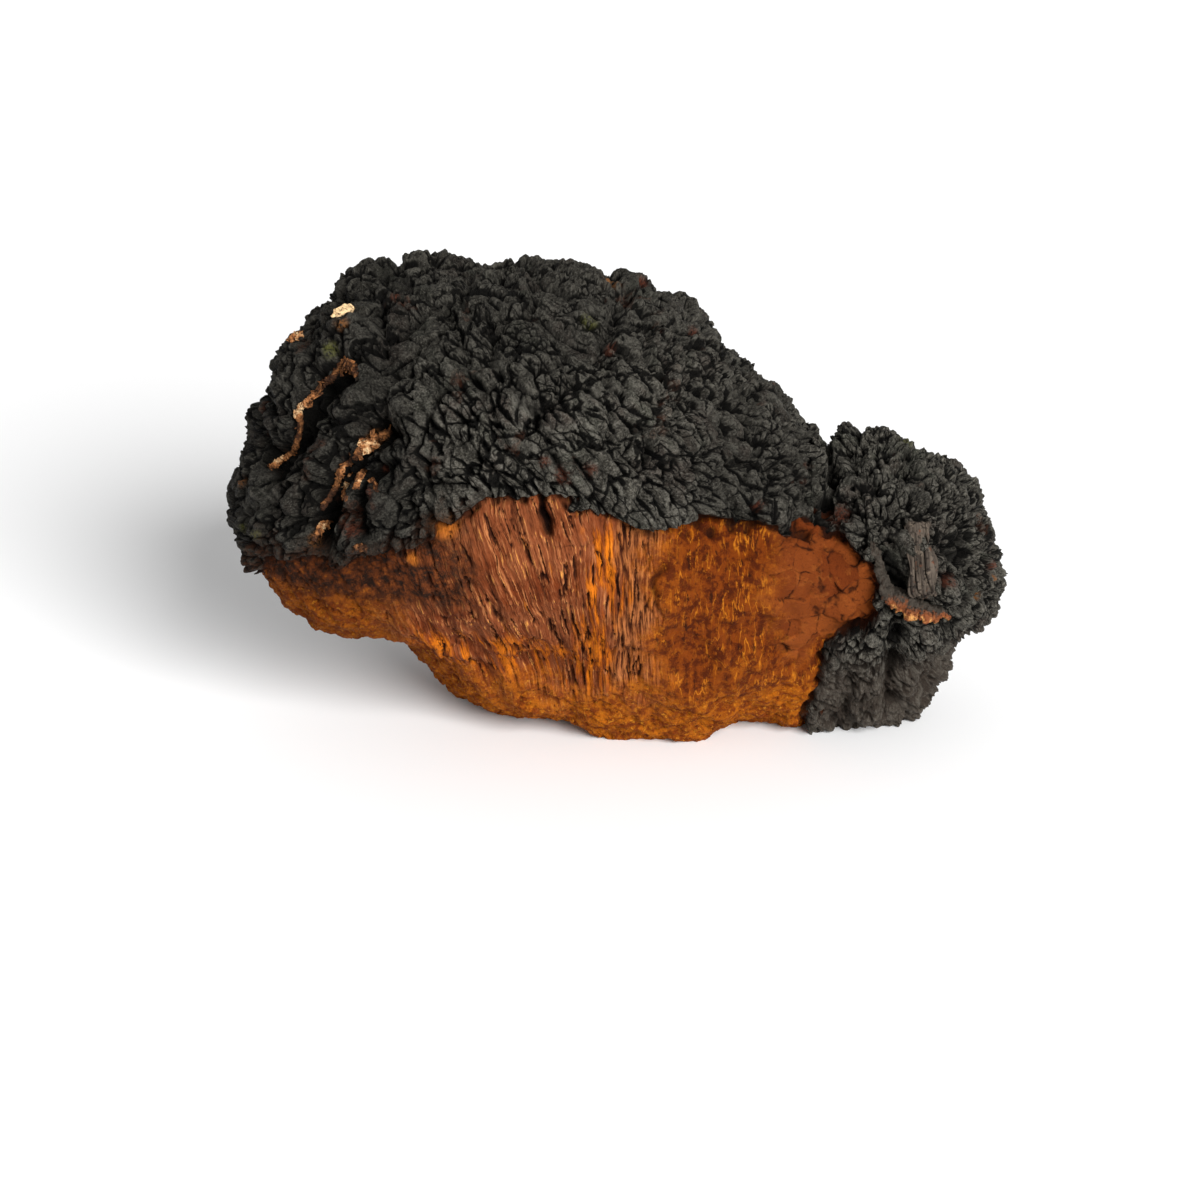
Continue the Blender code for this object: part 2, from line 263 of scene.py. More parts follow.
SMALL_SCRAPS = (
    ((351, 475, 0.5, 0.6), (347, 483, 0.8, 1.0), (345, 491, 0.8, 0.7), (347, 499, 0.5, 0.3)),
    ((356, 487, 0.4, 0.6), (360, 478, 0.7, 0.7), (365, 472, 0.8, 0.6), (371, 481, 0.8, 0.5),
     (378, 491, 0.5, 0.3)),
    ((328, 522, 0.6, 0.4), (322, 525, 1.0, 0.8), (317, 532, 1.0, 0.5), (313, 541, 0.6, 0.1)),
    ((354, 549, 0.5, 0.2), (360, 547, 0.8, 0.4), (367, 549, 0.5, 0.1)),
    ((301, 334, 0.6, 0.9), (296, 336, 1.0, 1.0), (291, 340, 0.7, 0.8)),
)
STRIP_LIFT = 0.25

# The ribbed slab and the torn flap on the lobe, by picture points; the flap's rim stands out
SLAB = ((919, 523), (922, 560), (925, 596))
SLAB_WIDTH = 7.6
SLAB_DEPTH = 7.0
SLAB_STANDS_OUT = 5.4
SLAB_RIB_STRETCH = 0.16
CHIP = ((352, 311), (342, 312), (332, 319))
CHIP_WIDTH = 4.2
CHIP_DEPTH = 4.0
CHIP_STANDS_OUT = 3.3
CHIP_TAPER = 0.9
CHIP_PALE = (1.7, -0.4)
BLOCK_ROUND = 0.8
BLOCK_VOXEL = 0.35
FLAP_ROOT = ((875, 545), (882, 566), (891, 586), (903, 593), (918, 598), (934, 606), (946, 614))
FLAP_RIM = ((871, 546, 0.6), (876, 571, 1.4), (885, 596, 2.8), (896, 610, 4.6), (912, 619, 6.0),
            (931, 621, 5.0), (948, 617, 2.0))
FLAP_ALONG = 90
FLAP_ACROSS = 16
FLAP_TEAR = 0.36
FLAP_BULGE = 1.6
FLAP_THICKNESS = 1.3

# The dome and the lobe as two ovals, whose curve tells which way the crust faces
DOME_OVAL = ((-20.0, 0.0, 74.0), (100.0, 62.0, 72.0))
LOBE_OVAL = ((84.0, -4.0, 48.0), (40.0, 42.0, 46.0))
LOBE_FROM = 60.0

# Where the crust's ways change along X, and the leans and spreads that its grain goes between
LEAN_LEFT = (-85.0, -50.0)
GRAIN_LEANS = (-0.85, 0.95)
LEAN_RIGHT = (20.0, 70.0)
GRAIN_SPREAD = (0.5, 2.6)
FINE_LEFT = (-70.0, -48.0)
ROUND_LEFT = (-48.0, -66.0)
LUMPY_LEFT = (-46.0, -68.0)
LOBE_CRUST = (52.0, 66.0)
LOBE_LUMPS = (44.0, 64.0)
SMOOTH_FRONT = (-20.0, -30.0)

# Where each finish of the core starts and is whole, and how far those places wander in X, Z and Y
REGION_WANDER = (26.0, 50.0, 12.0)
FACE_FRONT = (-18.0, -27.0)
FACE_FOOT = (12.0, 34.0)
FIBROUS_LEFT = (-82.0, -60.0)
FIBROUS_RIGHT = (4.0, 20.0)
FIBRE_FAN = (-30.0, 6.0)
GOLDEN_LEFT = (-14.0, -7.0)
GOLDEN_RIGHT = (6.0, -1.0)
GOLDEN_FOOT = (48.0, 34.0)
GOLDEN_TOP = (90.0, 80.0)
STRINGY_LEFT = (-3.0, 3.0)
VEINED_LEFT = (5.0, 21.0)
CLAY_LEFT = (44.0, 54.0)
CLAY_FOOT = (34.0, 44.0)
DULL_RIGHT = (-38.0, -56.0)
DULL_FOOT = (50.0, 62.0)

# Where the crust is darker, and where the lobe's foot is browner
SHADE_TOP = (116.0, 140.0)
SHADE_LEFT = (-48.0, -72.0)
SHADE_RIGHT = (8.0, 36.0)
SHADE_END = (66.0, 56.0)
LOW_LEFT = (55.0, 68.0)
LOW_TOP = (42.0, 20.0)

# Paint of the skin: a ground, then layers of mask, values it rises between, share and colour
CONK_PAINTS = {
    "char": (
        (0.066, 0.061, 0.050),
        ("speck", 0.40, 0.61, 1.0, (0.196, 0.181, 0.148)),
        ("block", 0.40, 1.0, 0.6, (0.205, 0.192, 0.160)),
        ("block", 0.35, 0.0, 0.5, (0.048, 0.043, 0.034)),
        ("tint 1", 0.54, 0.66, 0.5, (0.052, 0.057, 0.041)),
        ("tint 2", 0.54, 0.66, 0.5, (0.080, 0.055, 0.045)),
        # Painted shade: darker where a point sits low among its neighbours, at the shoulders of cracks
        ("up", 0.8, 0.0, 0.62, (0.020, 0.018, 0.015)),
        ("speck", 0.43, 0.32, 0.85, (0.010, 0.009, 0.007)),
        # Light grain specks, partly painted glints that stand in for the crust's sheen
        ("speck", 0.58, 0.72, 0.8, (0.270, 0.255, 0.215)),
        ("fine", 0.54, 0.64, 0.6, (0.290, 0.272, 0.230)),
        ("fine", 0.45, 0.36, 0.7, (0.010, 0.009, 0.007)),
        # Painted shade: near-black where the fine relief is low, along the cracks, and in the folds and
        # creases
        ("relief", -1.1, -2.4, 0.85, (0.003, 0.0026, 0.002)),
        ("cracked", 0.15, 0.75, 0.93, (0.002, 0.0018, 0.0015)),
        ("hollow", 1.6, 5.5, 0.9, (0.003, 0.0026, 0.002)),
        ("low", 0.55, (0.105, 0.080, 0.062)),
        ("shade", 1.0, (0.004, 0.0036, 0.003)),
        ("seep", 0.5, (0.085, 0.030, 0.015)),
        ("red", 0.85, (0.13, 0.040, 0.022)),
        ("honey seep", 0.85, (0.30, 0.12, 0.035)),
        ("green", 0.7, (0.13, 0.13, 0.035)),
        ("dull seep", 1.0, (0.050, 0.020, 0.010)),
    ),
    "rust": (
        (0.115, 0.023, 0.005),
        ("broad", 0.38, 0.62, 1.0, (0.165, 0.044, 0.014)),
        ("hair", 0.48, 0.68, 0.8, (0.31, 0.105, 0.040)),
        ("hair", 0.44, 0.30, 0.75, (0.050, 0.011, 0.003)),
        ("hair", 0.62, 0.68, 0.8, (0.56, 0.24, 0.045)),
        # Painted highlight along the edges of the fibre bundles
        ("edge", 0.75, (0.42, 0.16, 0.055)),
        ("streak", 0.62, 0.70, 0.7, (0.42, 0.12, 0.010)),
    ),
    "gold": (
        (0.17, 0.030, 0.003),
        ("streak", 0.44, 0.64, 1.0, (0.60, 0.155, 0.004)),
        ("hair", 0.46, 0.34, 0.85, (0.06, 0.012, 0.002)),
    ),
    "string": ((0.04, 0.009, 0.003), ("hair", 0.38, 0.60, 1.0, (0.34, 0.115, 0.034))),
    "threads": (
        "rust",
        ("golden", 0.9, "gold"),
        ("stringy", 0.75, "string"),
        # Painted shade in the gaps between fibre bundles
        ("gap", 0.92, (0.012, 0.003, 0.001)),
    ),
    "veiny": (
        (0.085, 0.014, 0.0015),
        ("mottle", 0.40, 0.58, 1.0, (0.22, 0.044, 0.003)),
        ("strokes", 0.85, (0.40, 0.100, 0.004)),
        ("veins", 1.0, (0.62, 0.20, 0.012)),
        ("stroke", 0.43, 0.33, 0.9, (0.026, 0.006, 0.0015)),
    ),
    "grit": (
        (0.20, 0.038, 0.003),
        ("mottle", 0.40, 0.60, 1.0, (0.44, 0.118, 0.005)),
        ("grain", 0.55, 0.66, 0.85, (0.68, 0.26, 0.020)),
        ("grain", 0.43, 0.34, 0.92, (0.045, 0.009, 0.0015)),
        # Painted shadow: the core darker towards its left end
        ("x", -30.0, -75.0, 0.45, (0.085, 0.018, 0.002)),
    ),
    "smooth": (
        (0.165, 0.032, 0.005),
        ("lot", 1.0, (0.290, 0.070, 0.012)),
        ("mottle", 0.54, 0.66, 0.6, (0.30, 0.080, 0.013)),
        ("grain", 0.44, 0.32, 0.7, (0.06, 0.012, 0.003)),
        # Painted shade in the cracks between flakes
        ("crack", 0.85, (0.020, 0.005, 0.0015)),
    ),
    "burnt": (
        (0.016, 0.007, 0.004),
        ("mottle", 0.40, 0.60, 1.0, (0.095, 0.024, 0.006)),
        ("grain", 0.56, 0.68, 0.6, (0.19, 0.050, 0.011)),
    ),
    "amber": ((0.26, 0.055, 0.006), ("grain", 1.0, (0.52, 0.17, 0.020))),
    "core": (
        "grit",
        ("fibrous", 1.0, "threads"),
        ("veined", 1.0, "veiny"),
        ("clay", 1.0, "smooth"),
        ("scorched", 1.0, "burnt"),
        ("honey", 0.85, "amber"),
        # Painted shade: darker where the core's relief is low, in its splits, and in the undercut under the
        # crust
        ("relief", -0.5, -1.8, 0.8, (0.024, 0.005, 0.0015)),
        ("hollow", 0.8, 3.0, 0.8, (0.020, 0.005, 0.0015)),
        ("hollow", 3.0, 5.5, 0.95, (0.004, 0.001, 0.0005)),
        # Painted shade on the core just under the crust's overhanging edge
        ("margin", -1.6, -0.4, 0.85, (0.018, 0.005, 0.002)),
    ),
    "conk": ("core", ("crust", 1.0, "char")),
}

# Ragged bark: the steps and the body of a strip, and the flakes that are torn up along it
BARK_LOOK = {
    "Step": 0.3,
    "Thinning": 0.62,
    "Ragged": 2.6,
    "Ragged Size": 1.1,
    "Flake Size": 1.15,
    "Flake Spacing": 0.3,
}
FLAKE_BLOCK = (0.3, 1.1, 2.2)
BARK_PAINTS = {
    "birch_bark": (
        (0.036, 0.015, 0.007),
        ("pale", 0.05, 0.70, 1.0, (0.34, 0.135, 0.045)),
        ("pale", 0.62, 1.15, 1.0, (0.72, 0.50, 0.27)),
        ("streak", 0.46, 0.34, 0.7, (0.09, 0.030, 0.010)),
        ("pit", 0.8, (0.020, 0.008, 0.004)),
    ),
    "grey_bark": (
        (0.024, 0.018, 0.014),
        ("streak", 0.35, 0.65, 1.0, (0.085, 0.066, 0.050)),
        ("fleck", 0.56, 0.68, 0.7, (0.145, 0.112, 0.083)),
        ("fleck", 0.40, 0.30, 0.8, (0.11, 0.034, 0.014)),
        ("pit", 0.7, (0.008, 0.006, 0.005)),
    ),
    "torn_bark": (
        (0.012, 0.010, 0.008),
        ("fleck", 1.0, (0.070, 0.057, 0.044)),
        ("rim", 0.62, 0.88, 1.0, (0.17, 0.050, 0.016)),
        ("rim", 0.92, 1.12, 1.0, (0.46, 0.22, 0.065)),
        ("streak", 0.46, 0.34, 0.8, (0.018, 0.009, 0.005)),
    ),
}

# How far round a picture point the skin is felt for the way that it faces, in picture points
FACING_REACH = 6.0

# Sheets for baking: the gap between faces, and how small the hidden ends of a slice are laid
SHEET_GAP = 1.5
CAP_SCALE = 0.25

# What the skin's material reads at each point, and the form of a value that is a vector
SKIN_VALUES = (
    "margin", "relief", "hollow", "grain_place", "draw", "shares", "more_shares", "along", "place",
)
VECTOR = "FLOAT_VECTOR"


class Nodes:
    """Short ways to place and link nodes in a geometry or shader tree."""

    def __init__(self, tree):
        self.tree = tree

    def add(self, kind, inputs=None, **settings):
        """Places a node with its settings, and with its inputs given by name or number."""
        node = self.tree.nodes.new(kind)
        for name, value in settings.items():
            setattr(node, name, value)
        for name, value in (inputs or {}).items():
            self.put(node.inputs[name], value)
        return node

    def put(self, socket, value):
        if isinstance(value, bpy.types.NodeSocket):
            self.tree.links.new(value, socket)
        elif value is not None:
            socket.default_value = value

    def math(self, operation, *values, clamp=False):
        inputs = dict(enumerate(values))
        return self.add("ShaderNodeMath", inputs, operation=operation, use_clamp=clamp).outputs[0]

    def add_up(self, *values):
        return reduce(lambda a, b: self.math("ADD", a, b), values)

    def times(self, *values):
        return reduce(lambda a, b: self.math("MULTIPLY", a, b), values)

    def minus(self, a, b):
        return self.math("SUBTRACT", a, b)

    def over(self, a, b):
        return self.math("DIVIDE", a, b)

    def larger(self, a, b):
        return self.math("MAXIMUM", a, b)

    def about_half(self, value):
        return self.minus(value, 0.5)

    def vector(self, operation, *values, scale=None):
        inputs = dict(enumerate(values)) | ({} if scale is None else {"Scale": scale})
        node = self.add("ShaderNodeVectorMath", inputs, operation=operation)
        return node.outputs["Value" if operation in ("DOT_PRODUCT", "LENGTH") else "Vector"]

    def scaled(self, vector, scale):
        return self.vector("SCALE", vector, scale=scale)

    def shifted(self, vector, *shifts):
        return reduce(lambda a, b: self.vector("ADD", a, b), shifts, vector)

    def away(self, vector, start):
        return self.vector("SUBTRACT", vector, start)

    def stretched(self, vector, sizes):
        return self.vector("MULTIPLY", vector, sizes)

    def dot(self, a, b):
        return self.vector("DOT_PRODUCT", a, b)

    def swing(self, colour):
        """A random colour as a vector that swings about nought."""
        return self.away(colour, (0.5, 0.5, 0.5))

    def xyz(self, vector):
        return self.add("ShaderNodeSeparateXYZ", {0: vector}).outputs

    def join(self, x, y, z):
        return self.add("ShaderNodeCombineXYZ", {0: x, 1: y, 2: z}).outputs[0]

    def noise(self, vector, scale=1.0, detail=2.0, roughness=0.5):
        inputs = {"Vector": vector, "Scale": scale, "Detail": detail, "Roughness": roughness}
        return self.add("ShaderNodeTexNoise", inputs).outputs

    def grain(self, vector, scale=1.0, detail=2.0, roughness=0.5):
        return self.noise(vector, scale, detail, roughness)["Fac"]

    def cells(self, vector, feature="F1", dimensions="3D"):
        settings = {"feature": feature, "voronoi_dimensions": dimensions}
        return self.add("ShaderNodeTexVoronoi", {"Vector": vector, "Scale": 1.0}, **settings).outputs

    def rise(self, value, low, high, start=0.0, end=1.0):
        """Goes smoothly from start to end as the value goes from low to high."""
        inputs = dict(enumerate((value, low, high, start, end)))
        return self.add("ShaderNodeMapRange", inputs, interpolation_type="SMOOTHSTEP").outputs[0]

    def mix(self, share, a, b):
        return self.add("ShaderNodeMix", {0: share, 2: a, 3: b}, data_type="FLOAT").outputs[0]

    def blend(self, share, a, b):
        """Mixes two colours."""
        a, b = ((*colour, 1.0) if isinstance(colour, tuple) else colour for colour in (a, b))
        return self.add("ShaderNodeMix", {0: share, 6: a, 7: b}, data_type="RGBA").outputs[2]

    def furrow(self, vector, size, detail=2.0, roughness=0.5):
        """Nought along wandering furrows about one size apart, and growing away from them."""
        found = self.grain(vector, self.over(1.0, size), detail, roughness)
        return self.math("ABSOLUTE", self.about_half(found))

    def turn(self, vector, angle):
        inputs = {"Vector": vector, "Angle": angle}
        return self.add("ShaderNodeVectorRotate", inputs, rotation_type="Y_AXIS").outputs[0]

    def position(self):
        """Where a point of a geometry is, in millimetres."""
        return self.scaled(self.add("GeometryNodeInputPosition").outputs[0], 1 / MM)

    def stored(self, name, form="FLOAT"):
        """A value that a geometry keeps for each point."""
        node = self.add("GeometryNodeInputNamedAttribute", {"Name": name}, data_type=form)
        return node.outputs["Attribute"]

    def bump(self, height, strength, distance):
        inputs = {"Height": height, "Strength": strength, "Distance": distance * MM}
        return self.add("ShaderNodeBump", inputs).outputs[0]

    def painted(self, masks, paints):
        """The colour of each finish in a set: a ground, and layers over it. A layer has a mask,
        maybe the values between which the mask rises, a share, and a colour or a finish's name."""
        made = {}
        for name, (ground, *layers) in paints.items():
            ground = made.get(ground, ground)
            for mask, *span, share, colour in layers:
                mask = masks[mask]
                amount = self.rise(mask, *span, 0.0, share) if span else self.times(mask, share)
                ground = self.blend(amount, ground, made.get(colour, colour))
            made[name] = ground
        return made


SOCKETS = {
    "geometry": "NodeSocketGeometry",
    "object": "NodeSocketObject",
    "material": "NodeSocketMaterial",
    "value": "NodeSocketFloat",
    "vector": "NodeSocketVector",
}


def new_tree(name, kind, inputs, outputs):
    """A node group with named sockets; returns it, its nodes, its inputs and its output node."""
    tree = bpy.data.node_groups.new(name, kind)
    for label, (form, default) in inputs.items():
        socket = tree.interface.new_socket(label, in_out="INPUT", socket_type=SOCKETS[form])
        if default is not None:
            socket.default_value = default
    for label, form in outputs.items():
        tree.interface.new_socket(label, in_out="OUTPUT", socket_type=SOCKETS[form])
    start = tree.nodes.new("NodeGroupInput")
    end = tree.nodes.new("NodeGroupOutput")
    return tree, Nodes(tree), start.outputs, end.inputs


def use_tree(item, tree, **inputs):
    """Puts a geometry tree on an object with its inputs set, and turns the result into a plain mesh."""
    modifier = item.modifiers.new(tree.name, "NODES")
    modifier.node_group = tree
    named = {name.replace("_", " "): value for name, value in inputs.items()}
    for socket in tree.interface.items_tree:
        if socket.item_type == "SOCKET" and socket.in_out == "INPUT" and socket.name in named:
            modifier[socket.identifier] = named[socket.name]
    settle(item)


def settle(item):
    """Replaces an object's mesh by the mesh its modifiers make."""
    graph = bpy.context.evaluated_depsgraph_get()
    mesh = bpy.data.meshes.new_from_object(item.evaluated_get(graph))
    item.modifiers.clear()
    item.data = mesh


def new_object(name, data):
    item = bpy.data.objects.new(name, data)
    bpy.context.scene.collection.objects.link(item)
    return item


def remesh(item, voxel):
    modifier = item.modifiers.new("Remesh", "REMESH")
    modifier.mode = "VOXEL"
    modifier.voxel_size = voxel * MM
    settle(item)


def points_of(mesh):
    found = np.empty(len(mesh.vertices) * 3, np.float32)
    mesh.vertices.foreach_get("co", found)
    return found.reshape(-1, 3).astype(float)


def normals_of(mesh):
    found = np.empty(len(mesh.vertices) * 3, np.float32)
    mesh.vertex_normals.foreach_get("vector", found)
    return found.reshape(-1, 3).astype(float)


def keep_values(mesh, name, values):
    """Stores one number or vector for each vertex."""
    values = np.asarray(values, np.float32)
    form, field = ("FLOAT", "value") if values.ndim == 1 else ("FLOAT_VECTOR", "vector")
    attribute = mesh.attributes.new(name, form, "POINT")
    attribute.data.foreach_set(field, values.ravel())


def read_values(mesh, name):
    attribute = mesh.attributes[name]
    vector = attribute.data_type == "FLOAT_VECTOR"
    found = np.empty(len(mesh.vertices) * (3 if vector else 1), np.float32)
    attribute.data.foreach_get("vector" if vector else "value", found)
    return found.reshape(-1, 3) if vector else found


def joined_lumps():
    """All the lumps in one softened mesh with a closed skin."""
    bm = bmesh.new()
    for centre, radii, turn in LUMPS:
        place = Matrix.LocRotScale(
            Vector(centre) * MM, Euler((0, math.radians(turn), 0)), Vector(radii) * MM
        )
        bmesh.ops.create_icosphere(bm, subdivisions=4, radius=1.0, matrix=place)
    mesh = bpy.data.meshes.new("lumps")
    bm.to_mesh(mesh)
    bm.free()
    body = new_object("lumps", mesh)
    remesh(body, COARSE_VOXEL)
    soften = body.modifiers.new("Smooth", "SMOOTH")
    soften.factor = 0.5
    soften.iterations = SOFTEN_STEPS
    finer = body.modifiers.new("Subdivision", "SUBSURF")
    finer.levels = 2
    finer.render_levels = 2
    settle(body)
    return body


def smoothstep(low, high, value):
    part = ((value - low) / (high - low)).clip(0, 1)
    return part * part * (3 - 2 * part)


def swell(p, layers):
    """Soft rises and hollows, one layer for each size and height."""
    total = np.zeros(len(p))
    for size, height in layers:
        total += height * np.array([noise.noise(q) for q in (p / size).tolist()])
    return total


def route_distance(p, route, closed=False):
    """Distance seen from the front between points and a route given as X and Z."""
    away = np.full(len(p), np.inf)
    ends = route[1:] + route[:1] if closed else route[1:]
    for a, b in zip(route, ends):
        run = np.subtract(b, a, dtype=float)
        off = p[:, (0, 2)] - a
        along = (off @ run / (run @ run)).clip(0, 1)
        away = np.minimum(away, np.linalg.norm(off - along[:, None] * run, axis=1))
    return away


def inside_core(p):
    inside = np.zeros(len(p), bool)
    for i, a in enumerate(CORE_OUTLINE):
        b = CORE_OUTLINE[i - 1]
        spans = (a[1] > p[:, 2]) != (b[1] > p[:, 2])
        if a[1] != b[1]:
            crossing = a[0] + (p[:, 2] - a[1]) * (b[0] - a[0]) / (b[1] - a[1])
            inside ^= spans & (p[:, 0] < crossing)
    return inside


def plain_margin(p):
    """How far points lie inside the crust before its edge wavers; negative on the bare core."""
    away = route_distance(p, CORE_OUTLINE, closed=True)
    nearer = smoothstep(*LOBE_JOINT, p[:, 0]) * (CORE_BACK - CORE_BACK_AT_LOBE)
    return np.maximum(np.where(inside_core(p), -away, away), p[:, 1] - CORE_BACK + nearer)


def towards_core(p):
    """The direction in which the crust's edge is nearest, for each point."""
    here = plain_margin(p)
    slope = np.stack([plain_margin(p + step) - here for step in np.eye(3) * 0.5], 1)
    return -slope / np.linalg.norm(slope, axis=1).clip(1e-6)[:, None]


def cell_edge(p, size, warp):
    """Distance to the nearest border between warped cells, and a height for each cell."""
    drift = np.array([noise.noise_vector(q) for q in (p / warp[0]).tolist()])
    warped = (p + warp[1] * drift) / size
    gaps = np.empty(len(p))
    heights = np.empty(len(p))
    for i, q in enumerate(warped.tolist()):
        distances, points = noise.voronoi(q)
        apart = max((points[1] - points[0]).length, 1e-6)
        gaps[i] = (distances[1] ** 2 - distances[0] ** 2) / (2 * apart) * size
        heights[i] = noise.noise(points[0] * CELL_SPREAD)
    return gaps, heights


def fold_depth(p):
    depth = np.zeros(len(p))
    front = p[:, 1] < FOLDS_BACK
    for route, deep, half_width in FOLDS:
        away = route_distance(p, route) / half_width
        depth += front * deep * (np.exp(-away**2) - FOLD_LIP * np.exp(-((away - FOLD_LIP_AT) ** 2)))
    return depth


def crack_depth(p, routes):
    """Narrow cracks that wander a little from their routes, on the front of the body."""
    depth = np.zeros(len(p))
    front = p[:, 1] < FOLDS_BACK
    bend = np.stack([swell(p, ((7.0, 3.0),)), 0 * p[:, 1], swell(p + 50, ((7.0, 3.0),))], 1)
    for route, deep, half_width in routes:
        away = route_distance(p + bend, route) / half_width
        depth += front * deep * np.exp(-(away**2))
    return depth


def crust_relief(p):
    """Height of the crust and how much of it is lost to folds and cracks."""
    edge, cell = cell_edge(p, PLATE_SIZE, PLATE_WARP)
    crack = PLATE_CRACK * (1 - smoothstep(0.0, PLATE_CRACK_WIDTH, edge))
    lost = fold_depth(p) + crack_depth(p, CREASES) + crack
    return swell(p, CRUST_SWELLS) + PLATE_STEP * cell - lost, lost


def nub_height(p):
    height = np.zeros(len(p))
    for x, z, radius, rise in NUBS:
        far = np.hypot(p[:, 0] - x, p[:, 2] - z)
        height += rise * np.exp(-((far / radius) ** 2)) * (p[:, 1] < 0)
    return height


def core_relief(p):
    """Height of the bare core and how much of it is lost to splits."""
    slanted = p * (1, 1, FIBRE_STRETCH)
    slanted[:, 0] += FIBRE_LEAN * p[:, 2]
    edge, cell = cell_edge(p, CHIP_SIZE, CHIP_WARP)
    chips = CHIP_STEP * cell * smoothstep(0.0, CHIP_EDGE, edge)
    lost = crack_depth(p, SPLITS)
    return swell(slanted, FIBRE_RIDGES) + chips + swell(p, CORE_SWELLS) + nub_height(p) - lost, lost


def raise_relief(body):
    """Moves the skin to its folds, plates, ledge, ridges and splits, and notes where each point was."""
    p = points_of(body.data) / MM
    out = normals_of(body.data)
    margin = plain_margin(p) + swell(p, EDGE_WAVER)
    share = smoothstep(-LEDGE_WIDTH / 2, LEDGE_WIDTH / 2, margin)
    crust = share > 0
    core = share < 1
    rise = np.zeros(len(p))
    hollow = np.zeros(len(p))
    height, lost = crust_relief(p[crust])
    rise[crust] += share[crust] * (CRUST_RISE + height)
    hollow[crust] += share[crust] * lost
    crisp = SOFT_SHARE + (1 - SOFT_SHARE) * smoothstep(*SOFT_EDGE, p[:, 0])
    under = np.exp(-(((margin[core] + UNDERCUT_FROM_EDGE) / UNDERCUT_WIDTH) ** 2))
    under *= UNDERCUT_DEPTH * crisp[core]
    height, lost = core_relief(p[core])
    rise[core] += (1 - share[core]) * (height - CORE_DROP - under)
    hollow[core] += (1 - share[core]) * (lost + under)
    moved = p + out * rise[:, None]
    band = np.abs(margin) < OVERHANG_BAND
    slide = np.exp(-(((margin[band] - OVERHANG_WIDTH) / OVERHANG_WIDTH) ** 2))
    slide *= OVERHANG * crisp[band]
    moved[band] += towards_core(p[band]) * slide[:, None]
    keep_values(body.data, "margin", margin)
    # How deep a point lies in a fold, crack, split or undercut; the material paints shade by it
    keep_values(body.data, "hollow", hollow)
    keep_values(body.data, "bed", p)
    keep_values(body.data, "bed_out", out)
    body.data.vertices.foreach_set("co", (moved * MM).astype(np.float32).ravel())
    body.data.update()


def flat_cells(n, place, size, length):
    """Flat cells longer along X: the way to a cell's crack in mm, how crosswise that crack runs,
    three lots that the cell drew, and a slope of its own."""
    fit = n.over(1.0, size)
    at = n.stretched(place, n.join(n.over(fit, length), fit, 0.0))
    first, second = (n.cells(at, feature, "2D") for feature in ("F1", "F2"))
    apart = n.away(second["Position"], first["Position"])
    apart = n.stretched(apart, n.join(n.over(1.0, length), 1.0, 0.0))
    reach = n.vector("LENGTH", apart)
    squares = [n.math("POWER", cell["Distance"], 2.0) for cell in (second, first)]
    gap = n.over(n.times(n.minus(*squares), 0.5, size), reach)
    across = n.over(n.math("ABSOLUTE", n.xyz(apart)[0]), reach)
    tilt = n.times(n.dot(n.away(at, first["Position"]), n.swing(first["Color"])), 2.0)
    return gap, across, n.xyz(first["Color"]), tilt


def jitter(n, p, scale, reach, detail=1.0):
    """A small random shift, the same for near points."""
    return n.scaled(n.swing(n.noise(p, scale, detail)["Color"]), reach)


def crust_draw(n, p, sizes):
    """Where a point lies on its patch of crust, as millimetres along and across the grain, and
    how round its blocks are, how open its cracks are and how near the patch's own border is."""
    patch_at = n.scaled(n.shifted(p, jitter(n, p, 0.1, 16.0, 3.0)), n.over(1.0, sizes["Patch Size"]))
    patch = n.cells(patch_at)
    centre = n.scaled(patch["Position"], sizes["Patch Size"])
    place = n.xyz(centre)[0]
    lobe = n.math("GREATER_THAN", place, LOBE_FROM)

    def oval(k):
        way = tuple(b - a for a, b in zip(DOME_OVAL[k], LOBE_OVAL[k]))
        return n.shifted(n.scaled(way, lobe), DOME_OVAL[k])

    radii = oval(1)
    out = n.vector("DIVIDE", n.away(centre, oval(0)), n.stretched(radii, radii))
    out = n.vector("NORMALIZE", out)
    lean = n.rise(place, *LEAN_LEFT, *GRAIN_LEANS)
    spread = n.rise(place, *LEAN_RIGHT, *GRAIN_SPREAD)
    angle = n.add_up(lean, n.times(n.about_half(n.xyz(patch["Color"])[0]), spread))
    grain = n.join(n.math("COSINE", angle), 0.0, n.times(n.math("SINE", angle), -1.0))
    along = n.vector("NORMALIZE", n.away(grain, n.scaled(out, n.dot(grain, out))))
    across = n.vector("CROSS_PRODUCT", out, along)
    off = n.away(p, centre)
    local = n.join(n.dot(off, along), n.dot(off, across), 0.0)
    local = n.scaled(local, n.rise(place, *LOBE_CRUST, n.rise(place, *FINE_LEFT, 0.72, 1.0), 1.15))
    local = n.shifted(local, n.scaled(patch["Color"], 200.0), jitter(n, p, 0.06, 6.0),
                      jitter(n, p, 0.5, 0.9, 2.0))
    rounded = n.larger(n.rise(place, *ROUND_LEFT), n.rise(place, *LOBE_CRUST))
    opened = n.rise(n.grain(local, 0.16), 0.36, 0.62)
    border = n.times(n.cells(patch_at, "DISTANCE_TO_EDGE")["Distance"], sizes["Patch Size"])
    border = n.rise(border, n.times(sizes["Patch Crack Width"], 0.3), sizes["Patch Crack Width"], 1.0, 0.0)
    return local, n.join(rounded, opened, border)


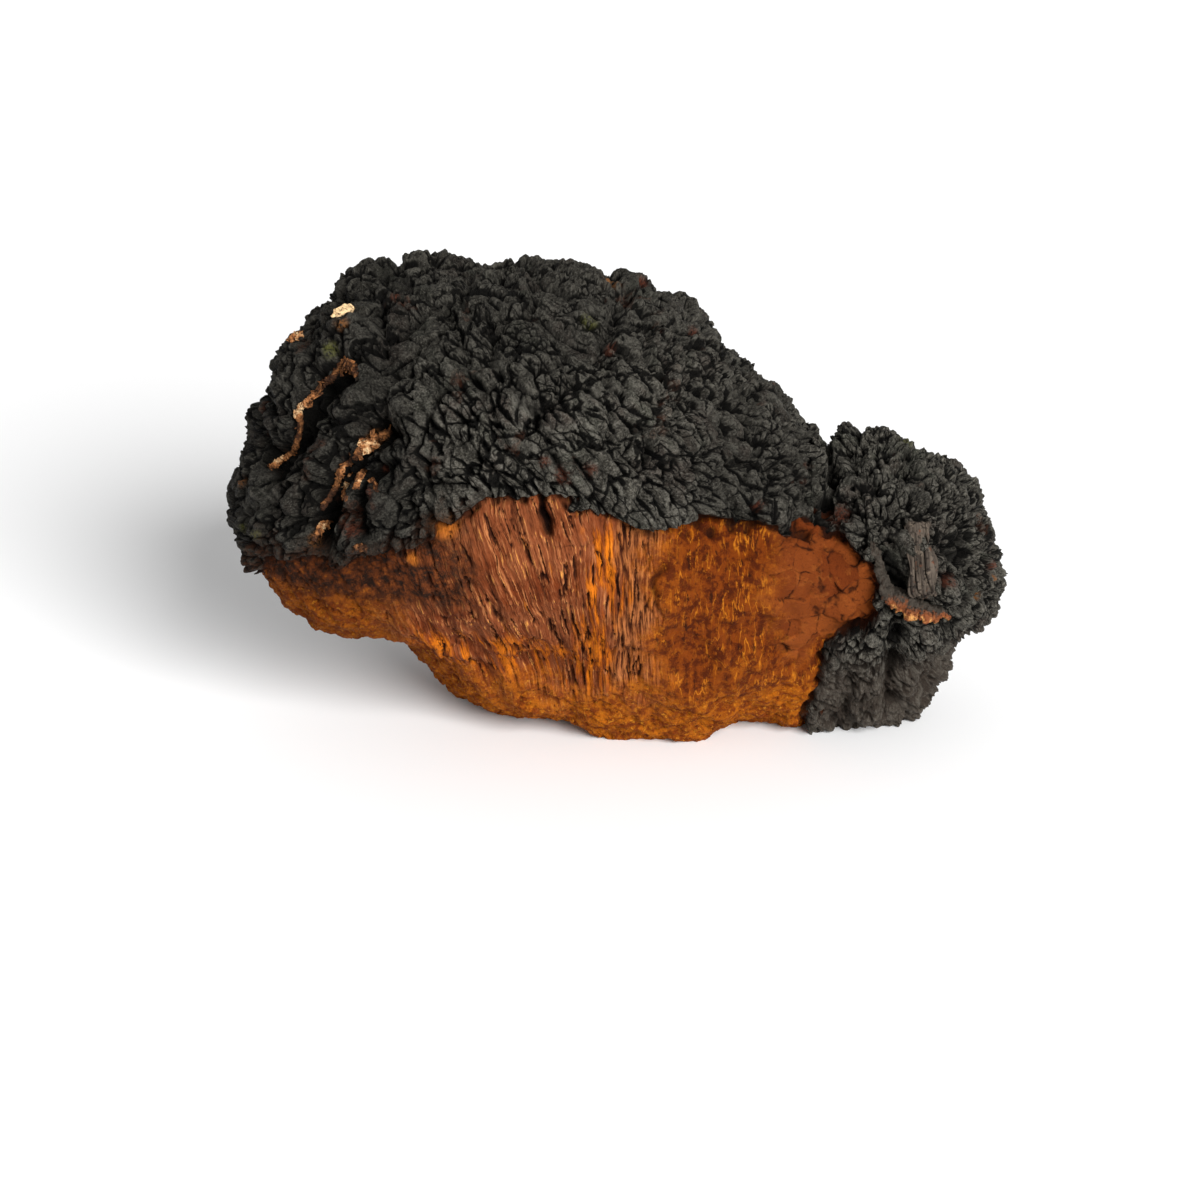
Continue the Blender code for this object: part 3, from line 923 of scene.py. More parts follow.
def charred_blocks(n, p, place, draw, sizes):
    """Height of the crust's furrowed ridges, plates and blocks, how cracked it is, how much a
    point stands up among its neighbours, and the lot of its block."""
    rounded, opened, border = n.xyz(draw)
    x, y, z = n.xyz(p)
    lumpy = n.rise(x, *LUMPY_LEFT)
    lobe = n.rise(x, *LOBE_LUMPS)
    middle, half = SMOOTH_FACE
    far = [n.math("ABSOLUTE", n.minus(value, at)) for value, at in zip((x, z), middle)]
    far = n.larger(n.times(far[0], 1 / half[0]), n.times(far[1], 1 / half[1]))
    smooth = n.times(n.rise(far, 1.2, 0.9), n.rise(y, *SMOOTH_FRONT))
    turned = n.turn(p, CRUST_GRAIN)
    ridge = n.furrow(n.stretched(turned, (1 / CRUST_STRETCH, 1.0, 1.0)), sizes["Ridge Size"])
    ridge = n.mix(lumpy, ridge, n.furrow(p, sizes["Lump Size"]))
    ridge = n.mix(lobe, ridge, n.furrow(p, sizes["Chunk Size"]))
    rounding = n.mix(lobe, n.mix(lumpy, sizes["Ridge Height"], sizes["Lump Height"]), sizes["Chunk Height"])
    seam = n.rise(ridge, 0.0, n.mix(opened, 0.018, 0.06), 1.0, 0.0)
    seam = n.times(seam, n.rise(opened, 0.3, 0.9, 0.0, 0.9))
    calm = n.minus(1.0, n.add_up(n.times(lumpy, 0.3), n.times(lobe, 0.3)))
    crumbly = n.stretched(turned, (CRUMB_STRETCH, 1.0, 1.0))
    crumb = n.grain(crumbly, n.over(1.0, sizes["Crumb Size"]), 3.0, 0.62)
    plate_length = n.mix(rounded, sizes["Plate Length"], 1.3)
    plate = flat_cells(n, place, sizes["Plate Size"], plate_length)
    plate_gap, plate_across, plate_lot, plate_tilt = plate
    block_gap, _, block_lot, _ = flat_cells(n, place, sizes["Block Size"], plate_length)
    width = n.times(sizes["Plate Crack Width"], n.mix(opened, 0.4, 1.6), n.mix(plate_across, 1.15, 0.5))
    plate_crack = n.times(n.rise(plate_gap, n.times(width, 0.2), width, 1.0, 0.0), n.mix(opened, 0.3, 1.2))
    width = n.times(sizes["Block Crack Width"], n.mix(opened, 1.2, 0.7))
    common = n.add_up(plate_lot[1], n.times(lobe, 0.2))
    block_crack = n.times(n.rise(block_gap, n.times(width, 0.1), width, 1.0, 0.0),
                          n.rise(common, 0.35, 0.75), n.mix(lumpy, 1.0, 0.3))
    shoulder = n.rise(plate_gap, 0.0, 1.9, 1.0, 0.0)
    corner = n.rise(block_gap, 0.0, 1.1, 1.0, 0.0)
    # The material darkens points where this is low, as painted shade at the shoulders of cracks
    up = n.times(n.rise(crumb, 0.38, 0.54), n.mix(shoulder, 1.0, 0.35), n.mix(corner, 1.0, 0.7))
    height = n.add_up(
        n.times(n.rise(ridge, 0.0, 0.15), rounding),
        n.times(seam, sizes["Seam Depth"], -1.0),
        n.times(n.about_half(crumb), sizes["Crumb Height"], n.mix(lobe, 2.0, 1.2)),
        n.times(n.about_half(n.grain(p, 0.75, 4.0, 0.65)), sizes["Grit"], 2.0, calm),
        n.times(n.about_half(n.grain(p, 0.2)), sizes["Wave"], 2.0),
        n.times(n.about_half(plate_lot[0]), sizes["Plate Step"]),
        n.times(n.about_half(block_lot[0]), sizes["Block Step"], calm),
        n.times(plate_tilt, sizes["Plate Tilt"]),
        n.times(shoulder, sizes["Shoulder Drop"], n.mix(lumpy, -1.0, -0.5)),
        n.times(corner, sizes["Shoulder Drop"], calm, -0.5),
        n.times(plate_crack, sizes["Plate Crack"], -1.0),
        n.times(block_crack, sizes["Block Crack"], -1.0),
        n.times(smooth, -2.6),
        0.1,
    )
    cracked = n.larger(n.larger(n.larger(border, plate_crack), n.times(block_crack, 0.7)), seam)
    rough = n.minus(1.0, n.times(smooth, 0.6))
    return n.times(height, rough), n.times(cracked, rough), up, block_lot[2]


def core_regions(n, p):
    """How much of each finish the bare core has at a point, and a point turned along its fibres."""
    x, y, z = n.xyz(p)
    drift = n.xyz(n.swing(n.noise(p, 0.07, 3.0, 0.6)["Color"]))
    wx, wz, wy = (n.add_up(at, n.times(shift, reach))
                  for at, shift, reach in zip((x, z, y), drift, REGION_WANDER))
    face = n.times(n.rise(wy, *FACE_FRONT), n.rise(wz, *FACE_FOOT))
    fibrous = n.times(face, n.rise(wx, *FIBROUS_RIGHT, 1.0, 0.0), n.rise(wx, *FIBROUS_LEFT))
    golden = n.times(n.rise(wx, *GOLDEN_LEFT), n.rise(wx, *GOLDEN_RIGHT))
    golden = n.times(fibrous, n.larger(golden, n.rise(wz, *GOLDEN_FOOT)), n.rise(wz, *GOLDEN_TOP))
    stringy = n.times(fibrous, n.rise(wx, *STRINGY_LEFT))
    clay = n.times(face, n.rise(wx, *CLAY_LEFT), n.rise(wz, *CLAY_FOOT))
    veined = n.times(face, n.rise(wx, *VEINED_LEFT), n.minus(1.0, clay))
    pitted = n.math("SUBTRACT", 1.0, n.add_up(fibrous, clay, veined), clamp=True)
    u = n.add_up(x, n.times(n.minus(z, 65.0), n.rise(x, *FIBRE_FAN, 0.27, 0.0)))
    along = n.shifted(n.join(z, u, n.times(y, 0.2)), jitter(n, p, 0.07, 3.0))
    along = n.shifted(along, jitter(n, p, 0.6, 0.3))
    dull = n.times(n.rise(wx, *DULL_RIGHT), n.rise(z, *DULL_FOOT))
    shares = {"fibrous": fibrous, "golden": golden, "stringy": stringy, "clay": clay,
              "veined": veined, "pitted": pitted, "dull": dull}
    return shares, along


def fibres(n, along, sizes):
    """Height of fibres in bundles, how deep in a gap between them a point is, whether it lies on
    a bundle's edge, and how light its hair is."""
    long_at = n.stretched(along, n.join(n.over(1.0, sizes["Fibre Length"]), 1.0, 1.0))
    bundle = n.furrow(long_at, sizes["Fibre Width"])
    hair = n.grain(long_at, n.over(1.0, sizes["Hair Width"]), 3.0, 0.6)
    broken = n.rise(n.grain(n.stretched(along, (0.16, 1.0, 1.0)), 0.45, 1.0), 0.50, 0.58)
    gap = n.times(n.rise(bundle, 0.034, 0.010), broken)
    edge = n.times(n.rise(bundle, 0.03, 0.06), n.rise(bundle, 0.11, 0.07), broken)
    height = n.add_up(
        n.times(n.rise(bundle, 0.0, 0.15), sizes["Fibre Height"]),
        n.times(n.about_half(hair), sizes["Hair Height"], 3.0),
        n.times(gap, sizes["Fibre Gap"], -1.0),
        -0.8,
    )
    return height, gap, edge, hair


def flakes(n, p, sizes):
    """Height of smooth flakes, how near the crack between them a point is, and the flake's lot."""
    at = n.scaled(n.shifted(p, jitter(n, p, 0.12, 6.0, 3.0)), n.over(1.0, sizes["Flake Size"]))
    first = n.cells(at)
    tilt = n.dot(n.away(at, first["Position"]), n.swing(first["Color"]))
    gap = n.times(n.cells(at, "DISTANCE_TO_EDGE")["Distance"], sizes["Flake Size"])
    lot = n.xyz(first["Color"])
    crack = n.rise(gap, 0.0, sizes["Flake Crack Width"], 1.0, 0.0)
    crack = n.times(crack, n.rise(n.grain(p, 0.2), 0.44, 0.56))
    height = n.add_up(
        n.times(n.about_half(lot[0]), sizes["Flake Step"]),
        n.times(tilt, sizes["Flake Step"], 2.0),
        n.times(crack, sizes["Flake Crack"], -1.0),
    )
    return height, crack, lot[1]


def torn_core(n, p, shares, along, sizes):
    """Height of the bare core's fibres, sheaves, pits and flakes at a point."""
    sheaf_at = n.shifted(along, (70.0, 0.0, 0.0))
    gap, _, lot, _ = flat_cells(n, sheaf_at, sizes["Sheaf Width"], sizes["Sheaf Length"])
    sheaves = n.times(n.about_half(lot[0]), sizes["Sheaf Step"], n.rise(gap, 0.0, 1.0))
    crumbs = n.scaled(p, n.over(1.0, sizes["Pit Size"]))
    crumbs = n.shifted(crumbs, jitter(n, crumbs, 0.7, 1.6, 2.0))
    pit = n.rise(n.cells(crumbs)["Distance"], 0.15, 0.55, 1.0, 0.0)
    lumpy = n.about_half(n.grain(crumbs, 0.6, 4.0, 0.62))
    heights = {
        "fibrous": n.add_up(fibres(n, along, sizes)[0], sheaves),
        "pitted": n.add_up(n.times(lumpy, sizes["Pit Depth"], 3.2), n.times(pit, sizes["Pit Depth"], -0.8)),
        "veined": n.add_up(n.times(lumpy, sizes["Pit Depth"], 2.0), n.times(sheaves, 0.5)),
        "clay": n.add_up(flakes(n, p, sizes)[0], n.times(lumpy, 0.8)),
    }
    return n.add_up(*(n.times(shares[name], height) for name, height in heights.items()))


def relief_tree():
    """The fine relief of the whole skin, laid over a remeshed copy of the coarse one."""
    inputs = {"Skin": ("geometry", None), "Coarse Skin": ("object", None)}
    looks = CRUST_LOOK | PATCH_LOOK | FIBRE_LOOK | FLAKE_LOOK | CORE_LOOK
    inputs.update({name: ("value", value) for name, value in looks.items()})
    inputs["Finish"] = ("material", None)
    tree, n, given, result = new_tree("fine relief", "GeometryNodeTree", inputs, {"Skin": "geometry"})
    source = n.add("GeometryNodeObjectInfo", {"Object": given["Coarse Skin"]}, transform_space="ORIGINAL")

    def looked_up(name, form="FLOAT"):
        near = {"Mesh": source.outputs["Geometry"], "Value": n.stored(name, form)}
        return n.add("GeometryNodeSampleNearestSurface", near, data_type=form).outputs["Value"]

    p = n.position()
    bed_out = looked_up("bed_out", VECTOR)
    grain_place, draw = crust_draw(n, p, given)
    crust_height = n.add_up(charred_blocks(n, p, grain_place, draw, given)[0],
                            n.times(n.xyz(draw)[2], given["Patch Crack"], -1.0))
    shares, along = core_regions(n, p)
    core_height = torn_core(n, p, shares, along, given)
    margin = looked_up("margin")
    height = n.mix(n.rise(margin, -0.35, 0.35), core_height, crust_height)
    geometry = given["Skin"]
    for name, value, form in (
        ("margin", margin, "FLOAT"),
        ("relief", height, "FLOAT"),
        ("hollow", looked_up("hollow"), "FLOAT"),
        ("grain_place", grain_place, VECTOR),
        ("draw", draw, VECTOR),
        ("shares", n.join(shares["fibrous"], shares["golden"], shares["stringy"]), VECTOR),
        ("more_shares", n.join(shares["clay"], shares["veined"], shares["dull"]), VECTOR),
        ("along", along, VECTOR),
        ("island", n.add("GeometryNodeInputMeshIsland").outputs["Island Index"], "FLOAT"),
        ("place", p, VECTOR),
        ("bed", looked_up("bed", VECTOR), VECTOR),
        ("bed_out", bed_out, VECTOR),
    ):
        kept = {"Geometry": geometry, "Name": name, "Value": value}
        node = n.add("GeometryNodeStoreNamedAttribute", kept, data_type=form, domain="POINT")
        geometry = node.outputs[0]
    rise = n.scaled(bed_out, n.times(n.stored("relief"), MM))
    placed = n.add("GeometryNodeSetPosition", {"Geometry": geometry, "Offset": rise})
    finish(n, placed.outputs[0], given["Finish"], result["Skin"])
    return tree


def finish(n, geometry, material, result):
    """Ends a geometry tree: instances made real, and the material set."""
    real = n.add("GeometryNodeRealizeInstances", {"Geometry": geometry}).outputs[0]
    n.put(result, n.add("GeometryNodeSetMaterial", {"Geometry": real, "Material": material}).outputs[0])


def quads_of(mesh):
    corners = np.empty(len(mesh.loops), np.int32)
    mesh.loops.foreach_get("vertex_index", corners)
    return corners.reshape(-1, 4)


def rims(faces):
    """Closed runs of vertices along the open borders of a set of quads."""
    starts = faces.ravel().astype(np.int64)
    ends = np.roll(faces, -1, axis=1).ravel().astype(np.int64)
    big = int(faces.max()) + 1
    open_edge = ~np.isin(starts * big + ends, ends * big + starts)
    following = {}
    for a, b in zip(starts[open_edge].tolist(), ends[open_edge].tolist()):
        following.setdefault(a, []).append(b)
    found = []
    while following:
        first = next(iter(following))
        run = [first]
        while True:
            nexts = following[run[-1]]
            step = nexts.pop()
            if not nexts:
                del following[run[-1]]
            if step == first:
                break
            run.append(step)
        found.append(run)
    return found


def caps(points, faces, cuts):
    """Triangles that close the open ends of a slice of the skin, one flat end for each cut."""
    triangles = []
    runs = rims(faces)
    for cut in cuts:
        ends = [run for run in runs if abs(points[run, 0].mean() - cut) < 4 * FINE_VOXEL * MM]
        if not ends:
            continue
        order = [vertex for run in ends for vertex in run]
        flat = [[Vector((0, *points[vertex, 1:])) for vertex in run] for run in ends]
        outward = math.copysign(1.0, cut - points[faces.ravel(), 0].mean())
        for a, b, c in tessellate_polygon(flat):
            side = points[[order[a], order[b], order[c]]]
            turn = np.cross(side[1] - side[0], side[2] - side[0])[0]
            triangles.append((order[a], order[b], order[c]) if turn * outward > 0 else
                             (order[a], order[c], order[b]))
    return np.array(triangles, np.int32).reshape(-1, 3)


def shelf_packed(sizes):
    """Corners for rectangles set in rows in a square, and the side of that square."""
    order = np.argsort([-height for _, height in sizes])
    best = None
    for wide in np.linspace(1.0, 2.0, 21) * math.sqrt(sum(w * h for w, h in sizes)):
        corners = np.zeros((len(sizes), 2))
        x = y = row = 0.0
        for i in order:
            width, height = sizes[i]
            if x and x + width > wide:
                x, y, row = 0.0, y + row, 0.0
            corners[i] = (x, y)
            x += width
            row = max(row, height)
        side = max(wide, y + row, max(width for width, _ in sizes))
        if best is None or side < best[1]:
            best = (corners, side)
    return best


def laid_out(bed, bed_out, corners, face_of_corner, capped):
    """A place on a flat sheet for each corner: faces are laid out by the side that they face."""
    count = face_of_corner.max() + 1
    facing = np.zeros((count, 3))
    np.add.at(facing, face_of_corner, bed_out[corners])
    axis = np.abs(facing).argmax(1)
    side = axis * 2 + (facing[np.arange(count), axis] > 0)
    side[capped] = 6
    places = np.zeros((len(corners), 2))
    sizes = []
    used = []
    for k in range(7):
        mine = (side == k)[face_of_corner]
        if mine.any():
            across = {0: (1, 2), 1: (0, 2), 2: (0, 1), 3: (1, 2)}[k // 2]
            flat = bed[corners[mine]][:, across]
            flat = (flat - flat.min(0)) * (CAP_SCALE if k == 6 else 1.0) + SHEET_GAP
            places[mine] = flat
            sizes.append(tuple(flat.max(0) + SHEET_GAP))
            used.append(mine)
    corner_places, full = shelf_packed(sizes)
    for mine, corner in zip(used, corner_places):
        places[mine] += corner
    return places / full


def skin_piece(name, points, faces, cuts, values):
    """One slice of the skin as an object with a closed mesh, its stored values and its own sheet."""
    ends = caps(points, faces, cuts)
    kept, corners = np.unique(np.concatenate([faces.ravel(), ends.ravel()]), return_inverse=True)
    quads, triangles = corners[: faces.size], corners[faces.size:]
    mesh = bpy.data.meshes.new(name)
    mesh.vertices.add(len(kept))
    mesh.vertices.foreach_set("co", points[kept].astype(np.float32).ravel())
    mesh.loops.add(len(corners))
    mesh.loops.foreach_set("vertex_index", corners.astype(np.int32))
    sides = np.repeat([4, 3], [len(faces), len(ends)])
    mesh.polygons.add(len(sides))
    mesh.polygons.foreach_set("loop_start", np.concatenate([[0], np.cumsum(sides)[:-1]]))
    mesh.update(calc_edges=True)
    for label, found in values.items():
        keep_values(mesh, label, found[kept])
    bed = values["bed"]
    bed_out = values["bed_out"]
    sheet = laid_out(bed[kept], bed_out[kept], corners, np.repeat(np.arange(len(sides)), sides),
                     sides == 3)
    layer = mesh.uv_layers.new(name="OFBake")
    layer.uv.foreach_set("vector", sheet.astype(np.float32).ravel())
    mesh.validate()
    return new_object(name, mesh)


def seen_ray(across, down):
    """From the camera through a picture point: where the ray starts, and its direction."""
    tilt = math.radians(LOOK_DOWN)
    ahead = Vector((0, math.cos(tilt), -math.sin(tilt)))
    up = Vector((0, math.sin(tilt), math.cos(tilt)))
    half = SENSOR / 2 / LENS
    right = Vector(((across / PICTURE * 2 - 1) * half, 0, 0))
    way = ahead + right + up * (1 - down / PICTURE * 2) * half
    return (Vector(LOOK_AT) - ahead * STAND_BACK) * MM, way.normalized()


def seen_spot(tree, across, down):
    """The skin at a picture point, and the way out of it as its neighbourhood faces."""
    start, way = seen_ray(across, down)
    spot = tree.ray_cast(start, way)[0]
    facing = Vector()
    for k in range(8):
        turn = k * math.pi / 4
        near = seen_ray(across + FACING_REACH * math.cos(turn), down + FACING_REACH * math.sin(turn))
        found, out, _, _ = tree.ray_cast(*near)
        if found is not None:
            facing += out if out.dot(way) < 0 else -out
            spot = spot or found
    return spot, facing.normalized()


def spotted(tree, points, spots):
    """How strongly each point is coloured by a set of spots."""
    share = np.zeros(len(points))
    for across, down, radius in spots:
        middle = np.array(seen_spot(tree, across, down)[0])
        away = np.linalg.norm(points - middle, axis=1) / (radius * MM)
        share = np.maximum(share, np.exp(-(away**4)))
    return share


def conk_skin(material):
    """The conk's whole skin, in slices along X; returns the pieces and the whole mesh."""
    noise.seed_set(NOISE_SEED)
    coarse = joined_lumps()
    raise_relief(coarse)
    fine = new_object("fine_skin", coarse.data.copy())
    remesh(fine, FINE_VOXEL)
    use_tree(fine, relief_tree(), Coarse_Skin=coarse, Finish=material)
    mesh = fine.data
    points = points_of(mesh)
    points[:, 2] = points[:, 2].clip(0.0)
    island = read_values(mesh, "island").astype(int)
    whole = island == np.bincount(island).argmax()
    quads = quads_of(mesh)
    quads = quads[whole[quads[:, 0]]]
    values = {name: read_values(mesh, name) for name in SKIN_VALUES + ("bed", "bed_out")}
    values["custom_normal"] = normals_of(mesh)
    tree = BVHTree.FromPolygons(points.tolist(), quads.tolist())
    values["spots"] = np.stack([spotted(tree, points, spots)
                                for spots in (RED_SPOTS, GOLD_SPOTS, GREEN_SPOTS)], 1)
    middles = points[quads, 0].mean(1)
    count = len(CONK_PIECES)
    cuts = np.quantile(middles, np.linspace(0, 1, count + 1))
    pieces = []
    for i, name in enumerate(CONK_PIECES):
        mine = quads[(middles >= cuts[i]) & ((middles < cuts[i + 1]) | (i == count - 1))]
        inner = [cut for k, cut in enumerate(cuts) if k in (i, i + 1) and 0 < k < count]
        piece = skin_piece(name, points, mine, inner, values)
        piece.data.materials.append(material)
        pieces.append(piece)
    for spare in (coarse, fine):
        bpy.data.objects.remove(spare, do_unlink=True)
    return pieces, tree


def attribute(n, name, part="Fac"):
    return n.add("ShaderNodeAttribute", attribute_name=name).outputs[part]


def shader_group(name, makes, inputs, looks, outputs):
    """A shader node group with the same sizes as named inputs as the relief has."""
    sockets = {label: ("vector", None) for label in inputs}
    sockets.update({label: ("value", value) for label, value in looks.items()})
    tree, n, given, result = new_tree(name, "ShaderNodeTree", sockets, dict.fromkeys(outputs, "value"))
    for label, value in zip(outputs, makes(n, *(given[label] for label in inputs), given)):
        n.put(result[label], value)
    return tree


def place_group(n, tree, **inputs):
    node = n.add("ShaderNodeGroup")
    node.node_tree = tree
    for name, value in inputs.items():
        n.put(node.inputs[name.replace("_", " ")], value)
    return node.outputs


def conk_material():
    """Charred crust over rusty core, told apart by how far inside the crust a point lies."""
    material = bpy.data.materials.new("charred_crust_and_rusty_core")
    material.use_nodes = True
    n = Nodes(material.node_tree)
    shader = material.node_tree.nodes["Principled BSDF"]
    p, along, grain_place, draw = (attribute(n, name, "Vector")
                                   for name in ("place", "along", "grain_place", "draw"))
    margin, relief, hollow = (attribute(n, name) for name in ("margin", "relief", "hollow"))
    blocks = shader_group("charred blocks", charred_blocks, ("Place", "Grain Place", "Draw"),
                          CRUST_LOOK, ("Height", "Cracked", "Up", "Block"))
    blocks = place_group(n, blocks, Place=p, Grain_Place=grain_place, Draw=draw)
    wood = shader_group("fibres", fibres, ("Along",), FIBRE_LOOK, ("Height", "Gap", "Edge", "Hair"))
    wood = place_group(n, wood, Along=along)
    flaky = shader_group("flakes", flakes, ("Place",), FLAKE_LOOK, ("Height", "Crack", "Lot"))
    flaky = place_group(n, flaky, Place=p)
    fibrous, golden, stringy = n.xyz(attribute(n, "shares", "Vector"))
    clay, veined, dull = n.xyz(attribute(n, "more_shares", "Vector"))
    red, honey, green = n.xyz(attribute(n, "spots", "Vector"))
    x, y, z = n.xyz(p)
    tints = n.xyz(n.noise(p, 0.06, 3.0, 0.6)["Color"])
    speck = n.grain(p, 1.1, 4.0, 0.65)
    fine = n.grain(p, 1.9, 4.0, 0.72)
    hair = wood["Hair"]
    streak = n.grain(n.stretched(along, (0.1, 1.0, 1.0)), 0.35, 4.0, 0.62)
    mottle = n.grain(p, 0.3, 5.0, 0.68)
    stroke = n.grain(n.stretched(along, (0.35, 1.0, 1.0)), 0.55, 4.0, 0.7)
    vein = n.furrow(n.stretched(along, (0.2, 1.0, 1.0)), 2.6)
    cluster = n.rise(n.grain(p, 0.11), 0.40, 0.58)
    seep = n.rise(speck, 0.36, 0.60)
    shade = n.larger(n.rise(z, *SHADE_TOP, 0.0, 0.5), n.rise(x, *SHADE_LEFT, 0.0, 0.62))
    shade = n.larger(shade, n.times(n.rise(x, *SHADE_RIGHT, 0.0, 0.42), n.rise(x, *SHADE_END, 0.35, 1.0)))
    masks = {
        "speck": speck, "fine": fine, "block": blocks["Block"], "up": blocks["Up"],
        "cracked": blocks["Cracked"], "relief": relief, "hollow": hollow, "margin": margin, "x": x,
        "tint 1": tints[0], "tint 2": tints[1], "shade": shade,
        "low": n.times(n.rise(x, *LOW_LEFT), n.rise(z, *LOW_TOP)),
        "seep": n.times(n.rise(tints[2], 0.63, 0.70), seep), "red": n.times(red, seep),
        "honey seep": n.times(honey, seep), "green": n.times(green, seep),
        "dull seep": n.times(dull, n.rise(margin, 6.0, 0.5, 0.0, 0.85), seep),
        "broad": n.grain(p, 0.06, 3.0, 0.6), "hair": hair, "streak": streak,
        "edge": n.times(wood["Edge"], n.rise(hair, 0.40, 0.56)), "gap": wood["Gap"],
        "golden": n.times(golden, n.rise(streak, 0.42, 0.52)), "stringy": stringy,
        "mottle": mottle, "stroke": stroke, "grain": n.grain(p, 0.8, 5.0, 0.72),
        "strokes": n.times(n.rise(stroke, 0.54, 0.64), cluster),
        "veins": n.times(n.rise(vein, 0.026, 0.006), n.rise(mottle, 0.40, 0.54), n.mix(cluster, 0.15, 0.9)),
        "lot": flaky["Lot"], "crack": flaky["Crack"], "fibrous": fibrous, "veined": veined,
        "clay": clay, "scorched": n.times(dull, n.rise(mottle, 0.74, 0.56)), "honey": honey,
        "crust": n.rise(margin, -0.3, 0.05),
    }
    n.put(shader.inputs["Base Color"], n.painted(masks, CONK_PAINTS)["conk"])
    crust = masks["crust"]
    n.put(shader.inputs["Roughness"], n.mix(crust, 0.8, n.rise(speck, 0.3, 0.7, 0.45, 0.7)))
    shader.inputs["Specular IOR Level"].default_value = 0.08
    height = n.mix(crust, n.mix(fibrous, fine, hair), n.times(n.add_up(fine, speck), 1.4))
    n.put(shader.inputs["Normal"], n.bump(height, 1.0, 1.5))
    return material


def bark_tree():
    """Ragged bark along a path that carries its half thickness, covered with torn flakes."""
    inputs = {"Path": ("geometry", None)}
    inputs.update({name: ("value", value) for name, value in BARK_LOOK.items()})
    inputs["Finish"] = ("material", None)
    tree, n, given, result = new_tree("ragged bark", "GeometryNodeTree", inputs, {"Bark": "geometry"})
    thick = n.stored("thick")

    def made(kind, inputs, **settings):
        return n.add("GeometryNode" + kind, inputs, **settings).outputs[0]

    def random(low, high, seed):
        inputs = {"Min": low, "Max": high, "Seed": seed}
        return n.add("FunctionNodeRandomValue", inputs, data_type=VECTOR).outputs["Value"]

    def ragged(geometry, reach):
        """Moves points about at random by up to a reach in millimetres."""
        drift = n.swing(n.noise(n.position(), n.over(1.0, given["Ragged Size"]), 3.0, 0.6)["Color"])
        return made("SetPosition", {"Geometry": geometry, "Offset": n.scaled(drift, n.times(reach, MM))})

    route = made("MeshToCurve", {"Mesh": given["Path"]})
    route = made("CurveSplineType", {"Curve": route}, spline_type="CATMULL_ROM")
    route = made("ResampleCurve", {"Curve": route, "Length": n.times(given["Step"], MM)}, mode="LENGTH")
    thin = n.times(n.rise(n.grain(n.position(), 0.55), 0.54, 0.44), given["Thinning"])
    radius = n.times(thick, n.times(n.minus(0.72, thin), 0.6))
    route = made("SetCurveRadius", {"Curve": route, "Radius": radius})
    section = made("CurvePrimitiveCircle", {"Resolution": 16, "Radius": MM}, mode="RADIUS")
    strip = made("CurveToMesh", {"Curve": route, "Profile Curve": section, "Fill Caps": True})
    strip = ragged(strip, n.add_up(n.times(thick, given["Ragged"]), 0.4))

    spacing = {"Curve": route, "Length": n.times(given["Flake Spacing"], MM)}
    dots = n.add("GeometryNodeCurveToPoints", spacing, mode="LENGTH").outputs
    around = n.scaled(random((-1, -1, -1), (1, 1, 1), 0), n.times(thick, 1.15, MM))
    turns = {"Rotation": dots["Rotation"], "Rotate By": random((-0.9, -0.9, 0.0), (0.9, 0.9, math.tau), 1)}
    size = n.times(given["Flake Size"], n.math("SQRT", thick), n.minus(1.15, n.times(thin, 1.5)))
    flakes_there = made("InstanceOnPoints", {
        "Points": made("SetPosition", {"Geometry": dots["Points"], "Offset": around}),
        "Instance": made("MeshCube", {"Size": tuple(side * MM for side in FLAKE_BLOCK),
                                      "Vertices X": 2, "Vertices Y": 3, "Vertices Z": 6}),
        "Rotation": n.add("FunctionNodeRotateRotation", turns, rotation_space="LOCAL").outputs[0],
        "Scale": n.scaled(random((0.5, 0.5, 0.4), (1.3, 1.5, 1.4), 2), size),
    })
    crumbs = made("RealizeInstances", {"Geometry": flakes_there})
    crumbs = ragged(crumbs, n.times(given["Flake Size"], 1.1))
    both = n.add("GeometryNodeJoinGeometry")
    n.put(both.inputs[0], strip)
    n.put(both.inputs[0], crumbs)
    finish(n, both.outputs[0], given["Finish"], result["Bark"])
    return tree


def bark_along(name, skin, runs, tree, material, **looks):
    """One piece of bark, or several small ones, along runs of picture points on the skin."""
    places, edges, thick, pale = [], [], [], []
    for run in runs:
        for k, (across, down, half, paleness) in enumerate(run):
            spot, out = seen_spot(skin, across, down)
            if k:
                edges.append((len(places) - 1, len(places)))
            places.append(spot + out * half * STRIP_LIFT * MM)
            thick.append(half)
            pale.append(paleness)
    mesh = bpy.data.meshes.new(name)
    mesh.from_pydata(places, edges, [])
    keep_values(mesh, "thick", thick)
    keep_values(mesh, "pale", pale)
    piece = new_object(name, mesh)
    use_tree(piece, tree, Finish=material, **looks)
    return piece


def relieved(piece, height):
    """Moves a piece's points along their normals by a height in millimetres worked out for each."""
    p = points_of(piece.data)
    p += normals_of(piece.data) * (height(p / MM) * MM)[:, None]
    piece.data.vertices.foreach_set("co", p.astype(np.float32).ravel())
    piece.data.update()


